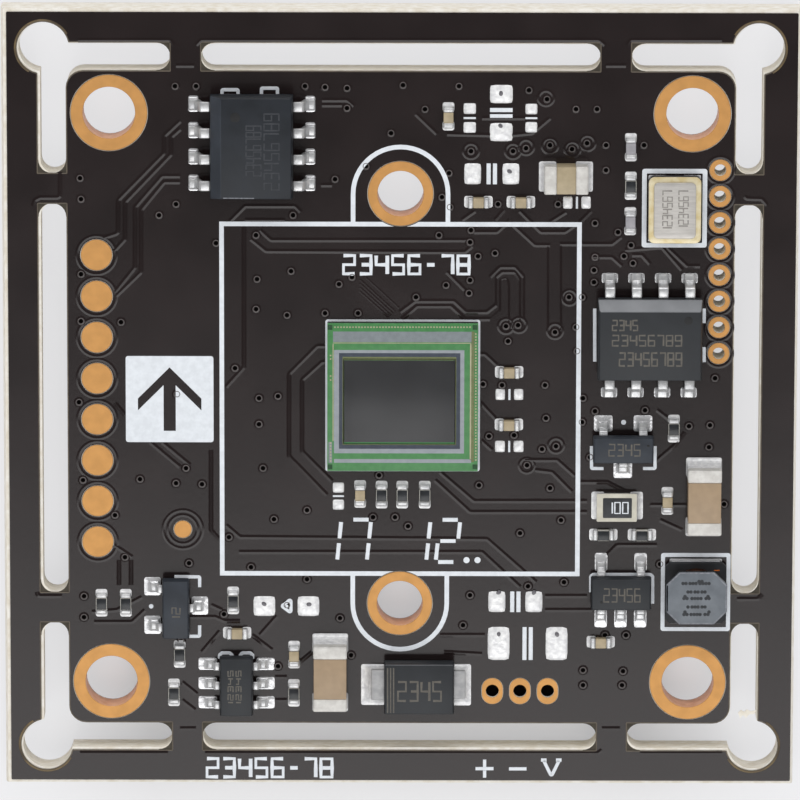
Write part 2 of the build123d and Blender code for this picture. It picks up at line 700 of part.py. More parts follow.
def save_inductor():
    """The inductor's ferrite drum, its winding and the two metal terminals under it."""
    level = SEAT + INDUCTOR_TERMINAL_THICKNESS
    lower = octagon(INDUCTOR_WIDTH, INDUCTOR_LENGTH, INDUCTOR_LOWER_CORNER)
    upper = octagon(INDUCTOR_WIDTH, INDUCTOR_TOP_LENGTH, INDUCTOR_UPPER_CORNER)
    waist_level = level + INDUCTOR_FLANGE_HEIGHT
    top_level = waist_level + INDUCTOR_WAIST_HEIGHT
    core = plate(lower, INDUCTOR_FLANGE_HEIGHT, level)
    core += plate(few_sided(INDUCTOR_WAIST_RADIUS), INDUCTOR_WAIST_HEIGHT, waist_level)
    core += plate(upper, INDUCTOR_FLANGE_HEIGHT, top_level)
    coil = few_sided(INDUCTOR_WINDING_RADIUS, BROAD_SIDES) - few_sided(INDUCTOR_WAIST_RADIUS)
    winding = plate(coil, INDUCTOR_WAIST_HEIGHT, waist_level)
    save("inductor_core", turned(core, *INDUCTOR_AT))
    save("inductor_winding", turned(winding, *INDUCTOR_AT))
    terminals, lands = [], []
    length = INDUCTOR_WIDTH - INDUCTOR_TERMINAL_INSET
    for side in (-1, 1):
        middle = side * (INDUCTOR_LENGTH - INDUCTOR_TERMINAL_WIDTH) / 2
        metal = block(length, INDUCTOR_TERMINAL_WIDTH, INDUCTOR_TERMINAL_THICKNESS, 0, middle, SEAT)
        terminals.append(turned(metal, *INDUCTOR_AT))
        reach = INDUCTOR_TERMINAL_WIDTH + 2 * LAND_MARGIN
        land = block(length + 2 * LAND_MARGIN, reach, LAND_THICKNESS, 0, middle, FACE)
        lands.append(turned(land, *INDUCTOR_AT))
    save("inductor_terminals", *terminals)
    return lands


# Two-ended parts

def end_caps(size, level, slope=0.0):
    """The two metal ends of a part lying along X, with solder sloping from them down to the board."""
    length, width, height, cap = size
    tip = length / 2
    points = [(tip - cap, 0), (tip + slope, 0), (tip, height), (tip - cap, height)]
    profile = Plane.XZ * make_face(Polyline(*points, close=True))
    end = Pos(0, width / 2, level) * extrude(profile, width)
    return [end, Rot(0, 0, 180) * end]


def lands_under(size, places, overhang):
    """The two lands under each part that stands on raised solder, and none where it lies flat."""
    if not overhang:
        return []
    length, width, _, cap = size
    inner = length / 2 - cap
    middle = (inner + length / 2 + overhang) / 2
    reach = cap + overhang
    pair = [block(reach, width + LAND_MARGIN, LAND_THICKNESS, side * middle, 0, FACE) for side in (-1, 1)]
    return [turned(land, *place) for place in places for land in pair]


def save_capacitors(name, size, places, overhang=0.0):
    """Ceramic blocks between two metal ends that stand a little proud of them."""
    length, width, height, cap = size
    level = SEAT if overhang else FACE
    body = block(length - 2 * cap, width - 2 * PROUD, height - 2 * PROUD, 0, 0, level + PROUD)
    ends = end_caps(size, level, 0.0 if overhang else SOLDER_SLOPE)
    save(f"{name}_bodies", *[turned(body, *place) for place in places])
    save(f"{name}_ends", *[turned(end, *place) for place in places for end in ends])
    return lands_under(size, places, overhang)


def save_resistors(name, size, places, overhang=0.0):
    """Thin ceramic bases with a dark glaze on top between two metal ends."""
    length, width, height, cap = size
    level = SEAT if overhang else FACE
    base = block(length - 2 * cap, width, height, 0, 0, level)
    glaze = block(length - 2 * cap, width - 2 * PROUD, GLAZE_THICKNESS, 0, 0, level + height)
    ends = end_caps(size, level, 0.0 if overhang else SOLDER_SLOPE)
    save(f"{name}_bases", *[turned(base, *place) for place in places])
    save(f"{name}_glazes", *[turned(glaze, *place) for place in places])
    save(f"{name}_ends", *[turned(end, *place) for place in places for end in ends])
    return lands_under(size, places, overhang)


# Rear side

def save_processor():
    """The image processor, a flat body on the rear with a row of lands along each side."""
    x, y = PROCESSOR_AT
    height = REAR_FACE - LAND_THICKNESS
    body = block(PROCESSOR_SIDE, PROCESSOR_SIDE, height, x, y, 0)
    body = chamfer(body.faces().sort_by(Axis.Z)[0].edges(), LAND_THICKNESS)
    save("processor_body", body)
    pads = []
    middle = (PROCESSOR_SIDE - PROCESSOR_PAD_LENGTH) / 2
    for turn in QUARTERS:
        for place in row_places(PROCESSOR_PAD_COUNT, PROCESSOR_PAD_PITCH):
            pad = block(PROCESSOR_PAD_LENGTH, PROCESSOR_PAD_WIDTH, LAND_THICKNESS, middle, place, height)
            pads.append(turned(pad, x, y, turn))
    save("processor_lands", *pads)


def save_socket():
    """The low cable socket on the rear, open downwards towards the board's edge, and its contacts."""
    centre_y = CABLE_INSET - HALF
    shell = block(SOCKET_LENGTH, SOCKET_DEPTH, REAR_FACE, CABLE_CENTRE_X, centre_y, 0)
    inner_length = SOCKET_LENGTH - 2 * SOCKET_WALL
    inner_height = REAR_FACE - 2 * SOCKET_FLOOR
    mouth = block(inner_length, SOCKET_DEPTH, inner_height, CABLE_CENTRE_X, centre_y - SOCKET_WALL, SOCKET_FLOOR)
    save("socket_body", shell - mouth)
    contacts = []
    width = CABLE_PITCH / 3
    for x, y in cable_places():
        reach = SOCKET_DEPTH - 2 * SOCKET_WALL
        contacts.append(block(width, reach, LAND_THICKNESS, x, y, SOCKET_FLOOR))
    save("socket_contacts", *contacts)


def save_rear_capacitors():
    """Supply capacitors beside the processor, hanging from the rear face."""
    length, width, height, cap = SMALL_CAPACITOR
    top = REAR_FACE - height
    body = block(length - 2 * cap, width - 2 * PROUD, height - 2 * PROUD, 0, 0, top + PROUD)
    ends = end_caps(SMALL_CAPACITOR, top)
    save("rear_capacitor_bodies", *[turned(body, *place) for place in REAR_CAPACITORS])
    save("rear_capacitor_ends", *[turned(end, *place) for place in REAR_CAPACITORS for end in ends])


def save_board():
    """Writes the board, its coating, its gold and its printed marks."""
    save("board_core", board_core())
    save("front_mask", front_mask())
    mount_rings = rings(mount_places(), MOUNT_HOLE_RADIUS, MOUNT_RING_WIDTH, BROAD_SIDES)
    save("mounting_hole_rings", mount_rings)
    save("lens_hole_rings", rings(lens_places(), LENS_HOLE_RADIUS, LENS_RING_WIDTH, BROAD_SIDES))
    header_rings = rings(header_places(), HEADER_HOLE_RADIUS, HEADER_RING_WIDTH, FINE_SIDES)
    save("header_hole_rings", header_rings)
    save("cable_hole_rings", cable_rings())
    save("contact_pads", gold_discs(contact_places(), CONTACT_RADIUS))
    save("test_point", gold_discs([TEST_POINT_AT], TEST_POINT_RADIUS))
    save("open_solder_pads", *open_pads())
    save("holder_outline_print", holder_print())
    save("arrow_print", arrow_print())
    save("part_frames_print", part_frames_print())
    save("place_bars_print", place_bars_print())


def main():
    os.makedirs("parts", exist_ok=True)
    save_board()
    save_sensor()
    lands = save_chips()
    lands += save_diode()
    lands += save_crystal()
    lands += save_inductor()
    lands += save_capacitors("large_capacitor", LARGE_CAPACITOR, LARGE_CAPACITORS, LARGE_LAND_OVERHANG)
    lands += save_capacitors("medium_capacitor", MEDIUM_CAPACITOR, MEDIUM_CAPACITORS, MEDIUM_LAND_OVERHANG)
    lands += save_capacitors("small_capacitor", SMALL_CAPACITOR, SMALL_CAPACITORS)
    lands += save_capacitors("ferrite_bead", FERRITE_BEAD, FERRITE_BEADS)
    lands += save_resistors("sense_resistor", SENSE_RESISTOR, SENSE_RESISTORS, MEDIUM_LAND_OVERHANG)
    lands += save_resistors("small_resistor", SMALL_RESISTOR, SMALL_RESISTORS)
    save("solder_lands", *lands)
    save_processor()
    save_socket()
    save_rear_capacitors()


main()
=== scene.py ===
"""Looks for a square camera circuit board with its image sensor at the centre."""
import math
import random

import bmesh
import bpy
from mathutils import Matrix, Vector
from mathutils.geometry import tessellate_polygon


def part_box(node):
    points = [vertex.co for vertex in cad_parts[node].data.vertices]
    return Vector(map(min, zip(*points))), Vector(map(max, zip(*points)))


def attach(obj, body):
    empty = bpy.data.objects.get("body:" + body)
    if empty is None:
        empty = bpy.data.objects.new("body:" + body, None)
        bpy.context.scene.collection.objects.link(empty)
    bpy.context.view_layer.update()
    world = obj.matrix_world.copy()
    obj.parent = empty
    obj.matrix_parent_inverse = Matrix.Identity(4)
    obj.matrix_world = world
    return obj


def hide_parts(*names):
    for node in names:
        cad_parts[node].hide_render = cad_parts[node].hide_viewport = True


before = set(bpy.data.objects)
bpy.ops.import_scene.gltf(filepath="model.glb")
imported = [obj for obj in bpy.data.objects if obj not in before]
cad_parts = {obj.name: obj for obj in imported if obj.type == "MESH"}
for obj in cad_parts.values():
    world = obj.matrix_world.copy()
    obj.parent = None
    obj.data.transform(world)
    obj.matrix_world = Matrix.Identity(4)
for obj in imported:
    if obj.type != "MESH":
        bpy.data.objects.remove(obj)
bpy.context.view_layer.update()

bl_info = {
    "name": "Camera circuit board",
    "version": (1, 0, 0),
    "blender": (4, 5, 0),
    "location": "3D View > Sidebar > Camera board",
    "description": "Dresses the solids of a small camera circuit board and lights it",
    "category": "Object",
}

MM = 0.001

# Levels in mm, read from the solids
REAR_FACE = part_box("board_core")[0].z / MM
CORE_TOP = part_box("front_mask")[0].z / MM
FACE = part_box("front_mask")[1].z / MM
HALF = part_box("board_core")[1].x / MM
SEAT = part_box("solder_lands")[1].z / MM
DIE_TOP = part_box("sensor_die")[1].z / MM

# The routed slots, their windows in the coating and the holes, in mm
EDGE_BEVEL_WIDTH = 0.12
EDGE_BEVEL_DEPTH = 0.45
REAR_COAT = 0.05
# Bare ring that the coating leaves round each gold one
MASK_GAP = 0.03
# Bare laminate left outside the coating: left, right, lower and upper side
MASK_MARGINS = (0.27, 0.14, 0.24, 0.28)
WINDOW_HALF = 0.7
SLOT_HALF = 0.63
SLOT_SHIFT = 0.04
WINDOW_LINE = HALF - 1.71 - WINDOW_HALF
SLOT_LINE = WINDOW_LINE - SLOT_SHIFT
CENTRE_SLOT_HALF = 9.5
ARM_END = CENTRE_SLOT_HALF + 1.45
CORNER_LINE = HALF - 2.0
CORNER_HOLE_RADIUS = 1.2
INNER_CORNER_RADIUS = 0.8
MOUNT_HALF = 27.75 / 2
CONTACT_X = 4.5 - HALF
HEADER_X = HALF - 3.78
HEADER_PLACES = [(HEADER_X, 6.72 + (i - 3.5) * 1.27) for i in range(8)]
CONTACT_PLACES = [(CONTACT_X, (i - 3.5) * 2.0) for i in range(8)]
MOUNT_PLACES = [(x, y) for x in (-MOUNT_HALF, MOUNT_HALF) for y in (-MOUNT_HALF, MOUNT_HALF)]
LENS_PLACES = [(0, 10.0), (0, -10.0)]
CABLE_PLACES = [(5.8 + i * 1.33, 4.67 - HALF) for i in (-1, 0, 1)]
TEST_PLACE = [(-10.42, -6.38)]
MOUNT_RING, LENS_RING, HEADER_RING, CABLE_RING = (1.25, 1.83), (1.1, 1.56), (0.28, 0.52), (0.32, 0.5)
CABLE_STRETCH = 0.14
CONTACT_RADIUS = 0.75
TEST_RADIUS = 0.425

# The photograph's camera, about the centre of the board's face
TILT = math.radians(11.45)
ROLL = math.radians(0.118)
DISTANCE = 400.6
FOCAL_PIXELS = 8370.6
PHOTO_SIDE = 800
PHOTO_CENTRE = (400.14, 399.52)


def linear(code):
    """A colour written as sRGB hex, in the linear values that the shaders use."""
    parts = [int(code[i:i + 2], 16) / 255 for i in (1, 3, 5)]
    return [p / 12.92 if p <= 0.04045 else ((p + 0.055) / 1.055) ** 2.4 for p in parts]


def colour(name, code):
    """A colour that a user may change."""
    return bpy.props.FloatVectorProperty(
        name=name, description=name, subtype="COLOR", size=3, min=0, max=1, default=linear(code)
    )


def length(name, description, value):
    """A size in millimetres that a user may change."""
    return bpy.props.FloatProperty(
        name=name, description=description, unit="LENGTH", precision=5, default=value * MM
    )


class BoardSizes(bpy.types.PropertyGroup):
    """Sizes of the dressed board."""

    trace_width: length("Track edge width", "Width of the coating's ridge over a track's edge", 0.25)
    trace_height: length("Track edge height", "How far a track's edge lifts the coating", 0.034)
    print_height: length("Print height", "Thickness of the white ink", 0.036)
    solder_height: length("Solder height", "Height of the solder on a bare pad", 0.09)
    package_edge: length("Package edge", "Rounding of the moulded packages' edges", 0.04)
    cap_edge: length("Metal end edge", "Rounding of the metal ends of the two-ended parts", 0.08)


class BoardColours(bpy.types.PropertyGroup):
    """Colours of the dressed board."""

    mask: colour("Front coating", "#1f1717")
    laminate: colour("Laminate", "#f7f3ea")
    gold: colour("Gold plating", "#e2a762")
    print: colour("White print", "#ebf0f6")
    solder: colour("Solder", "#f4f4f6")
    package: colour("Moulded packages", "#2d3034")
    ceramic: colour("Capacitor ceramic", "#ad9579")


# Nodes, materials

def add_node(tree, kind, inputs=None, **settings):
    """Adds one node with its settings, its constant inputs and its links."""
    made = tree.nodes.new(kind)
    for name, value in settings.items():
        setattr(made, name, value)
    for name, value in (inputs or {}).items():
        socket = made.inputs[name]
        if isinstance(value, bpy.types.NodeSocket):
            tree.links.new(value, socket)
        else:
            socket.default_value = value
    return made


def finish(name, base, roughness, second, mottle, bump, grain, uneven=0.0, stretch=(1, 1, 1), **sockets):
    """A finish: a colour that drifts to a second one over mottle mm, uneven gloss, and a bump of grain mm."""
    made = bpy.data.materials.new(name)
    made.use_nodes = True
    tree = made.node_tree
    tree.nodes.clear()
    place = add_node(tree, "ShaderNodeTexCoord").outputs["Object"]
    place = add_node(tree, "ShaderNodeMapping", {"Vector": place, "Scale": stretch}).outputs["Vector"]
    wide = add_node(tree, "ShaderNodeTexNoise", {"Vector": place, "Scale": 1 / (mottle * MM), "Detail": 3.0})
    values = {"Roughness": roughness, "Base Color": (*base, 1)}
    if second:
        span = {"Value": wide.outputs["Fac"], "From Min": 0.35, "From Max": 0.65}
        share = add_node(tree, "ShaderNodeMapRange", span).outputs["Result"]
        mixed = add_node(tree, "ShaderNodeMix", {"Factor": share}, data_type="RGBA")
        mixed.inputs[6].default_value = (*base, 1)
        mixed.inputs[7].default_value = (*second, 1)
        values["Base Color"] = mixed.outputs[2]
    if uneven:
        span = {"Value": wide.outputs["Fac"], "To Min": roughness - uneven, "To Max": roughness + uneven}
        values["Roughness"] = add_node(tree, "ShaderNodeMapRange", span).outputs["Result"]
    if bump:
        grains = {"Vector": place, "Scale": 1 / (grain * MM), "Detail": 2.0}
        fine = add_node(tree, "ShaderNodeTexNoise", grains)
        raised = {"Height": fine.outputs["Fac"], "Distance": bump * MM, "Strength": 1.0}
        values["Normal"] = add_node(tree, "ShaderNodeBump", raised).outputs["Normal"]
    shader = add_node(tree, "ShaderNodeBsdfPrincipled", values)
    for socket, value in sockets.items():
        shader.inputs[socket.replace("_", " ")].default_value = value
    add_node(tree, "ShaderNodeOutputMaterial", {"Surface": shader.outputs["BSDF"]})
    return made


FINISHES = {}
# Each finish: its real material, its colour and the one that it drifts to, as tone() takes them, and roughness,
# then in mm the drift of colour and the height and grain of the bump, uneven gloss if any, and other settings
FINISH_ROWS = {
    # Woven glass cloth in epoxy, routed: pale straw, matt, with streaks along the cut
    "laminate": ("Glass epoxy laminate", "laminate", "#e6dece", 0.7, 0.5, 0.02, 0.08, {"stretch": (1, 1, 3)}),
    # Photoimageable solder resist over copper: near black with a brown cast and a soft even gloss
    "mask": ("Black solder resist", "mask", 1.3, 0.16, 3.0, 0.0008, 0.25, 0.02, {}),
    # Painted highlight: lighter resist for the ring where the coating dips into a small hole
    "via_lip_highlight": ("Solder resist over a plated rim", "#4b4544", "#5d5655", 0.3, 0.4, 0.002, 0.1, 0.05, {}),
    "lip": ("Thin edge of the solder resist", "#5c5348", "#6b6153", 0.45, 0.5, 0.003, 0.1, {}),
    "amber_lip": ("Thin resist over laminate", "#7d6a48", "#4f4230", 0.35, 0.8, 0.003, 0.1, {}),
    "bare_laminate": ("Bare laminate in the windows", "#3d362b", "#4c4436", 0.6, 0.3, 0.004, 0.08, {}),
    # Copper and thin gold down the wall of a drilled hole: brown, satin
    "plated_wall": ("Plated hole wall", "#eeb688", "#dca070", 0.4, 0.4, 0.004, 0.1, 0.05, {}),
    # Electroless nickel with immersion gold: warm, satin, slightly cloudy
    "gold": ("Immersion gold", "gold", 0.9, 0.42, 0.6, 0.002, 0.1, 0.05, {"Metallic": 0.55}),
    # Epoxy legend ink, screen printed: cool white, matt, a little thin in places
    "print": ("White legend ink", "print", 0.9, 0.6, 0.3, 0.004, 0.06, {}),
    # Reflowed tin solder: bright, smooth and lumpy
    "solder": (
        "Reflowed tin solder", "#ffffff", ("solder", 0.85), 0.2, 0.22, 0.04, 0.24, 0.08,
        {"Metallic": 0.1},
    ),
    # Painted shade: dark spots on the bright solder
    "flux": ("Dried flux on solder", "#77757a", "#59575c", 0.3, 0.1, 0.003, 0.06, {}),
    "joint": ("Drawn-up solder", "solder", 0.88, 0.24, 0.25, 0.02, 0.2, 0.08, {"Metallic": 0.6}),
    # Matt tin plate over copper: pale grey, slightly rough
    "tin": ("Matt tin plate", "#fafafa", "#dcdddf", 0.38, 0.3, 0.008, 0.12, 0.06, {"Metallic": 0.7}),
    "dull_tin": ("Dull tin plate", "#c4c4c4", "#aeaeb0", 0.5, 0.4, 0.004, 0.1, 0.05, {"Metallic": 0.4}),
    # Filled black epoxy, moulded: blue-black, fine pitted skin
    "package": ("Moulded epoxy", "package", 1.15, 0.5, 0.8, 0.004, 0.05, 0.05, {}),
    # Painted highlight: the memory's bevel, the same epoxy coloured lighter where it faces the lamp
    "rubbed_package": ("Smooth moulded bevel", "#7c7e82", "#888a8e", 0.4, 1.2, 0.003, 0.05, 0.05, {}),
    # Painted light: the diode's bevel, the same epoxy coloured lighter than its body
    "worn_package": ("Worn moulded bevel", "#505256", "#5c5e62", 0.4, 0.6, 0.004, 0.05, 0.05, {}),
    # Also used on the driver's bevel, where it is painted light
    "blue_package": ("Blue-grey moulded epoxy", "#31363e", "#383e47", 0.5, 0.9, 0.004, 0.05, 0.05, {}),
    "driver_package": ("Dark blue-grey moulded epoxy", "#20252c", "#262b33", 0.5, 0.9, 0.004, 0.05, 0.05, {}),
    # Fired barium titanate: tan, satin, nearly even
    "ceramic": ("Fired tan ceramic", "ceramic", 0.9, 0.45, 0.5, 0.003, 0.06, 0.05, {}),
    "pale_ceramic": ("Fired pale ceramic", "#b8a88a", "#a99a7d", 0.45, 0.5, 0.003, 0.06, 0.05, {}),
    "bead": ("Fired pale ferrite glaze", "#a5a3a8", "#959398", 0.4, 0.3, 0.003, 0.06, 0.05, {}),
    # Tin over a fired end: creamy white, matt
    "fired_tin": (
        "Fired and tinned end", "#d2cfca", "#e6e4df", 0.45, 0.35, 0.01, 0.1, 0.06,
        {"Metallic": 0.2},
    ),
    # Skin of the moulding burnt off by a laser: warm grey, matt
    "laser_mark": ("Laser-marked epoxy", "#6a665f", "#605c56", 0.65, 0.15, 0.004, 0.04, {}),
    "faint_mark": ("Faint laser mark", "#41444a", "#383b41", 0.6, 0.15, 0.004, 0.04, {}),
    "lid_mark": ("Laser-marked lid", "#8c8883", "#9a9690", 0.6, 0.15, 0.004, 0.04, {}),
    "dimple": ("Smooth moulded dimple", "#17181a", "#1f2022", 0.4, 0.2, 0.001, 0.05, {}),
    # Stamping ink: near black, matt
    "dark_ink": ("Black stamping ink", "#2d3034", "#393c41", 0.55, 0.1, 0.003, 0.05, {}),
    # Pressed alumina: white, matt
    "alumina": ("Pressed alumina", "#dfdcd4", "#cfccc4", 0.55, 0.4, 0.003, 0.05, {}),
    "cream_glaze": ("Fired cream glaze", "#d3cfc0", "#c6c2b3", 0.4, 0.4, 0.002, 0.08, {}),
    # Glass glaze over the resistive film: black, glossy
    "glaze": ("Black glass glaze", "#26282b", "#303236", 0.25, 0.4, 0.002, 0.08, {}),
    # Nickel-iron lid, rolled: grey, satin, faint streaks
    "lid": (
        "Rolled nickel iron", "#dad6d1", "#ccc8c3", 0.42, 0.6, 0.002, 0.05, 0.04,
        {"stretch": (1, 6, 1), "Metallic": 0.5},
    ),
    # Gold-plated seal ring of the ceramic package: pale gold
    "rim": ("Plated seal ring", "#f0e4c2", "#e0cd9a", 0.35, 0.4, 0.003, 0.1, {"Metallic": 0.3}),
    "dark_ceramic": ("Dark fired ceramic", "#2b2a2c", "#353336", 0.55, 0.4, 0.003, 0.06, {}),
    # Ground ferrite with its sealing coat: blue-grey, satin, fine pores
    "ferrite": ("Ground ferrite", "#686e75", "#767c83", 0.45, 0.7, 0.006, 0.07, 0.05, {}),
    # Painted shade: the same ferrite coloured dark below the top plate
    "shaded_ferrite": ("Unground ferrite", "#202225", "#2a2c30", 0.5, 0.5, 0.006, 0.07, 0.05, {}),
    # Painted highlight: a pale line along the lit edge of a top face
    "pale_ferrite": ("Chipped ferrite edge", "#8b8e95", "#6f7279", 0.5, 0.15, 0.006, 0.07, {}),
    # Enamelled copper wire: orange-brown, glossy
    "copper": ("Enamelled copper", "#b5622c", "#8f4a20", 0.3, 0.5, 0.002, 0.1, {"Metallic": 1.0}),
    # Silicon with its colour filter and wiring, under glass
    "die_green": ("Die coating green", "#569a5c", "#4c9054", 0.4, 0.3, 0.001, 0.05, {}),
    "die_dark_green": ("Die coating dark green", "#1d4f2a", "#255a31", 0.4, 0.3, 0.001, 0.05, {}),
    "die_grey": ("Die wiring grey", "#919a9e", "#889094", 0.35, 0.3, 0.001, 0.05, {}),
    "die_pale": ("Die wiring pale", "#aab0b7", "#a0a7ae", 0.35, 0.3, 0.001, 0.05, {}),
    "die_blue": ("Die guard ring blue-grey", "#48505e", "#3f4755", 0.35, 0.3, 0.001, 0.05, {}),
    "die_olive": ("Die edge olive", "#7d8657", "#747c50", 0.35, 0.3, 0.001, 0.05, {}),
    "die_beige": ("Die line beige", "#c8bfa0", "#bfb697", 0.35, 0.3, 0.001, 0.05, {}),
    "array": ("Photodiode array under glass", "#3b3b3d", "#424244", 0.3, 2.0, 0.001, 0.02, {}),
    # Thin cover glass: clear, with faint grey edges
    "glass": ("Cover glass", "#15171a", None, 0.05, 1.0, 0.0, 0.2, {"Alpha": 0.05, "IOR": 1.5}),
    # Liquid crystal polymer, moulded: ivory
    "socket": ("Moulded ivory polymer", "#cfc8b4", "#c3bca8", 0.5, 0.6, 0.004, 0.06, {}),
    # Painted shade: a near-black, unreflecting sheet where the inside of a drilled and coated hole lies in
    # shade
    "hole": ("Shaded drilled hole", "#050404", "#0a0808", 1.0, 0.1, 0.002, 0.05, {"Specular_IOR_Level": 0.0}),
}


def tone(tones, value, first=()):
    """A colour from a hex code, the name of a user's, or a share of the first one or of a user's."""
    if isinstance(value, float):
        return [min(1, c * value) for c in first]
    if isinstance(value, tuple):
        return tone(tones, value[1], getattr(tones, value[0]))
    return linear(value) if value.startswith("#") else getattr(tones, value)


def make_finishes(tones):
    """Every finish of the board, from its row."""
    for key, (name, base, second, roughness, *texture, settings) in FINISH_ROWS.items():
        first = tone(tones, base)
        other = second and tone(tones, second, first)
        FINISHES[key] = finish(name, first, roughness, other, *texture, **settings)


# Meshes

def place_mesh(name, mesh, material, replaces=(), sharp=35):
    """Puts a finished mesh on the board as one piece."""
    mesh.name = name
    mesh.materials.clear()
    mesh.materials.append(FINISHES[material])
    mesh.shade_smooth()
    mesh.set_sharp_from_angle(angle=math.radians(sharp))
    made = bpy.data.objects.new(name, mesh)
    bpy.context.scene.collection.objects.link(made)
    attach(made, "root")
    if replaces:
        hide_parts(*replaces)
    return made


def place_bmesh(name, work, material, replaces=(), sharp=35):
    """Turns a closed work mesh outwards and puts it on the board."""
    bmesh.ops.recalc_face_normals(work, faces=work.faces)
    mesh = bpy.data.meshes.new(name)
    work.to_mesh(mesh)
    work.free()
    return place_mesh(name, mesh, material, replaces, sharp)


def add_stack(work, rows):
    """A closed solid through flat outlines at rising levels: rows of (level, loops), all in mm."""
    made = []
    for level, loops in rows:
        made.append([work.verts.new((x * MM, y * MM, level * MM)) for loop in loops for x, y in loop])
    loops = rows[0][1]
    triangles = tessellate_polygon([[Vector((x, y, 0)) for x, y in loop] for loop in loops])
    for triangle in triangles:
        work.faces.new([made[-1][i] for i in triangle])
        work.faces.new([made[0][i] for i in reversed(triangle)])
    start = 0
    for loop in loops:
        for i in range(len(loop)):
            a, b = start + i, start + (i + 1) % len(loop)
            for low, high in zip(made, made[1:]):
                work.faces.new((low[a], low[b], high[b], high[a]))
        start += len(loop)


def plates(name, shapes, low, high, material, replaces=()):
    """One piece of flat plates between two levels, each shape with its outer and inner outlines."""
    work = bmesh.new()
    for loops in shapes:
        add_stack(work, [(low, loops), (high, loops)])
    return place_bmesh(name, work, material, replaces)


def add_lathe(work, profile, sides, x=0.0, y=0.0):
    """A turned shape: profile of (radius, level) in mm, open on the axis or closed on its first point."""
    turns = [2 * math.pi * i / sides for i in range(sides)]
    closed = profile[0] == profile[-1]
    rows = []
    for radius, level in profile[:-1] if closed else profile:
        if radius < 1e-9:
            rows.append([work.verts.new((x * MM, y * MM, level * MM))] * sides)
        else:
            spots = [(x + radius * math.cos(t), y + radius * math.sin(t), level) for t in turns]
            rows.append([work.verts.new([c * MM for c in spot]) for spot in spots])
    for low, high in zip(rows, rows[1:] + rows[:1] if closed else rows[1:]):
        for i in range(sides):
            corners = (low[i], low[(i + 1) % sides], high[(i + 1) % sides], high[i])
            work.faces.new(list(dict.fromkeys(corners)))


def lathed(profile, sides):
    """A turned shape by itself, to be repeated."""
    work = bmesh.new()
    add_lathe(work, profile, sides)
    return work


def arc(x, y, radius, start, end, steps=10):
    """Points along an arc, in mm and degrees."""
    angles = [math.radians(start + (end - start) * i / steps) for i in range(steps + 1)]
    return [(x + radius * math.cos(a), y + radius * math.sin(a)) for a in angles]


def circle(x, y, radius, sides=32):
    """A closed round outline."""
    return arc(x, y, radius, 0, 360 * (sides - 1) / sides, sides - 1)


def box_loop(x, y, width, depth, corner=0.0):
    """A rectangle's outline with rounded corners."""
    w, d = width / 2 - corner, depth / 2 - corner
    if corner <= 0:
        return [(x + w, y + d), (x - w, y + d), (x - w, y - d), (x + w, y - d)]
    corners = [(w, d, 0), (-w, d, 90), (-w, -d, 180), (w, -d, 270)]
    return [p for i, j, turn in corners for p in arc(x + i, y + j, corner, turn, turn + 90, 4)]


def turned(loop, turn):
    """An outline turned about the board's centre."""
    c, s = math.cos(math.radians(turn)), math.sin(math.radians(turn))
    return [(x * c - y * s, x * s + y * c) for x, y in loop]


def opening_loops(line, half, square, hole, shift=0.0):
    """The outlines of the long and the two-armed openings, with round or square ends, moved by a shift."""
    outer, inner = line + half, line - half
    bulge = math.degrees(math.asin((outer - CORNER_LINE) / hole))
    relief = inner - INNER_CORNER_RADIUS
    if square:
        centre = box_loop(0, line, 2 * CENTRE_SLOT_HALF, 2 * half, 0.04)
        first, last = [(ARM_END, inner), (ARM_END, outer)], [(outer, ARM_END), (inner, ARM_END)]
    else:
        reach = CENTRE_SLOT_HALF - half
        centre = arc(reach, line, half, -90, 90) + arc(-reach, line, half, 90, 270)
        first, last = arc(ARM_END + half, line, half, 270, 90), arc(line, ARM_END + half, half, 0, -180)
    bend = arc(CORNER_LINE, CORNER_LINE, hole, 180 - bulge, bulge - 90, 28)
    corner = first + bend + last + arc(relief, relief, INNER_CORNER_RADIUS, 0, 90, 6)
    loops = [turned(loop, turn) for turn in (0, 90, 180, 270) for loop in (centre, corner)]
    return [[(x + shift, y + shift) for x, y in loop] for loop in loops]


def slot_loops():
    """The slots as the router left them."""
    return opening_loops(SLOT_LINE, SLOT_HALF, False, CORNER_HOLE_RADIUS, SLOT_SHIFT)


def window_loops():
    """The square-ended windows round the slots in the coating."""
    return opening_loops(WINDOW_LINE, WINDOW_HALF, True, CORNER_HOLE_RADIUS + WINDOW_HALF - SLOT_HALF)


def cable_loop(x, y, radius):
    """The outline of an oval ring standing upright."""
    return arc(x, y + CABLE_STRETCH, radius, 0, 180, 12) + arc(x, y - CABLE_STRETCH, radius, 180, 360, 12)


def add_block(work, box, low, high, corner=0.04, edge=0.04):
    """An upright block with rounded corners and a rounded upper edge: box of x0, y0, x1, y1."""
    x0, y0, x1, y1 = box[:4]
    angles = (0, 0.5, 1.0, math.pi / 2)
    rows = [(low, 0.0)] + [(high - edge * (1 - math.sin(a)), edge * (1 - math.cos(a))) for a in angles]
    middle = ((x0 + x1) / 2, (y0 + y1) / 2)
    shrunk = lambda cut: box_loop(*middle, x1 - x0 - 2 * cut, y1 - y0 - 2 * cut, max(corner - cut, 0.005))
    add_stack(work, [(level, [shrunk(cut)]) for level, cut in rows])


def widened(box, margin):
    """A box of x0, y0, x1, y1 with a margin added on every side."""
    return [box[0] - margin, box[1] - margin, box[2] + margin, box[3] + margin]


def under(land, box):
    """Whether a land lies under the middle of a box."""
    return all(land[k] < (box[k] + box[k + 2]) / 2 < land[k + 2] for k in (0, 1))


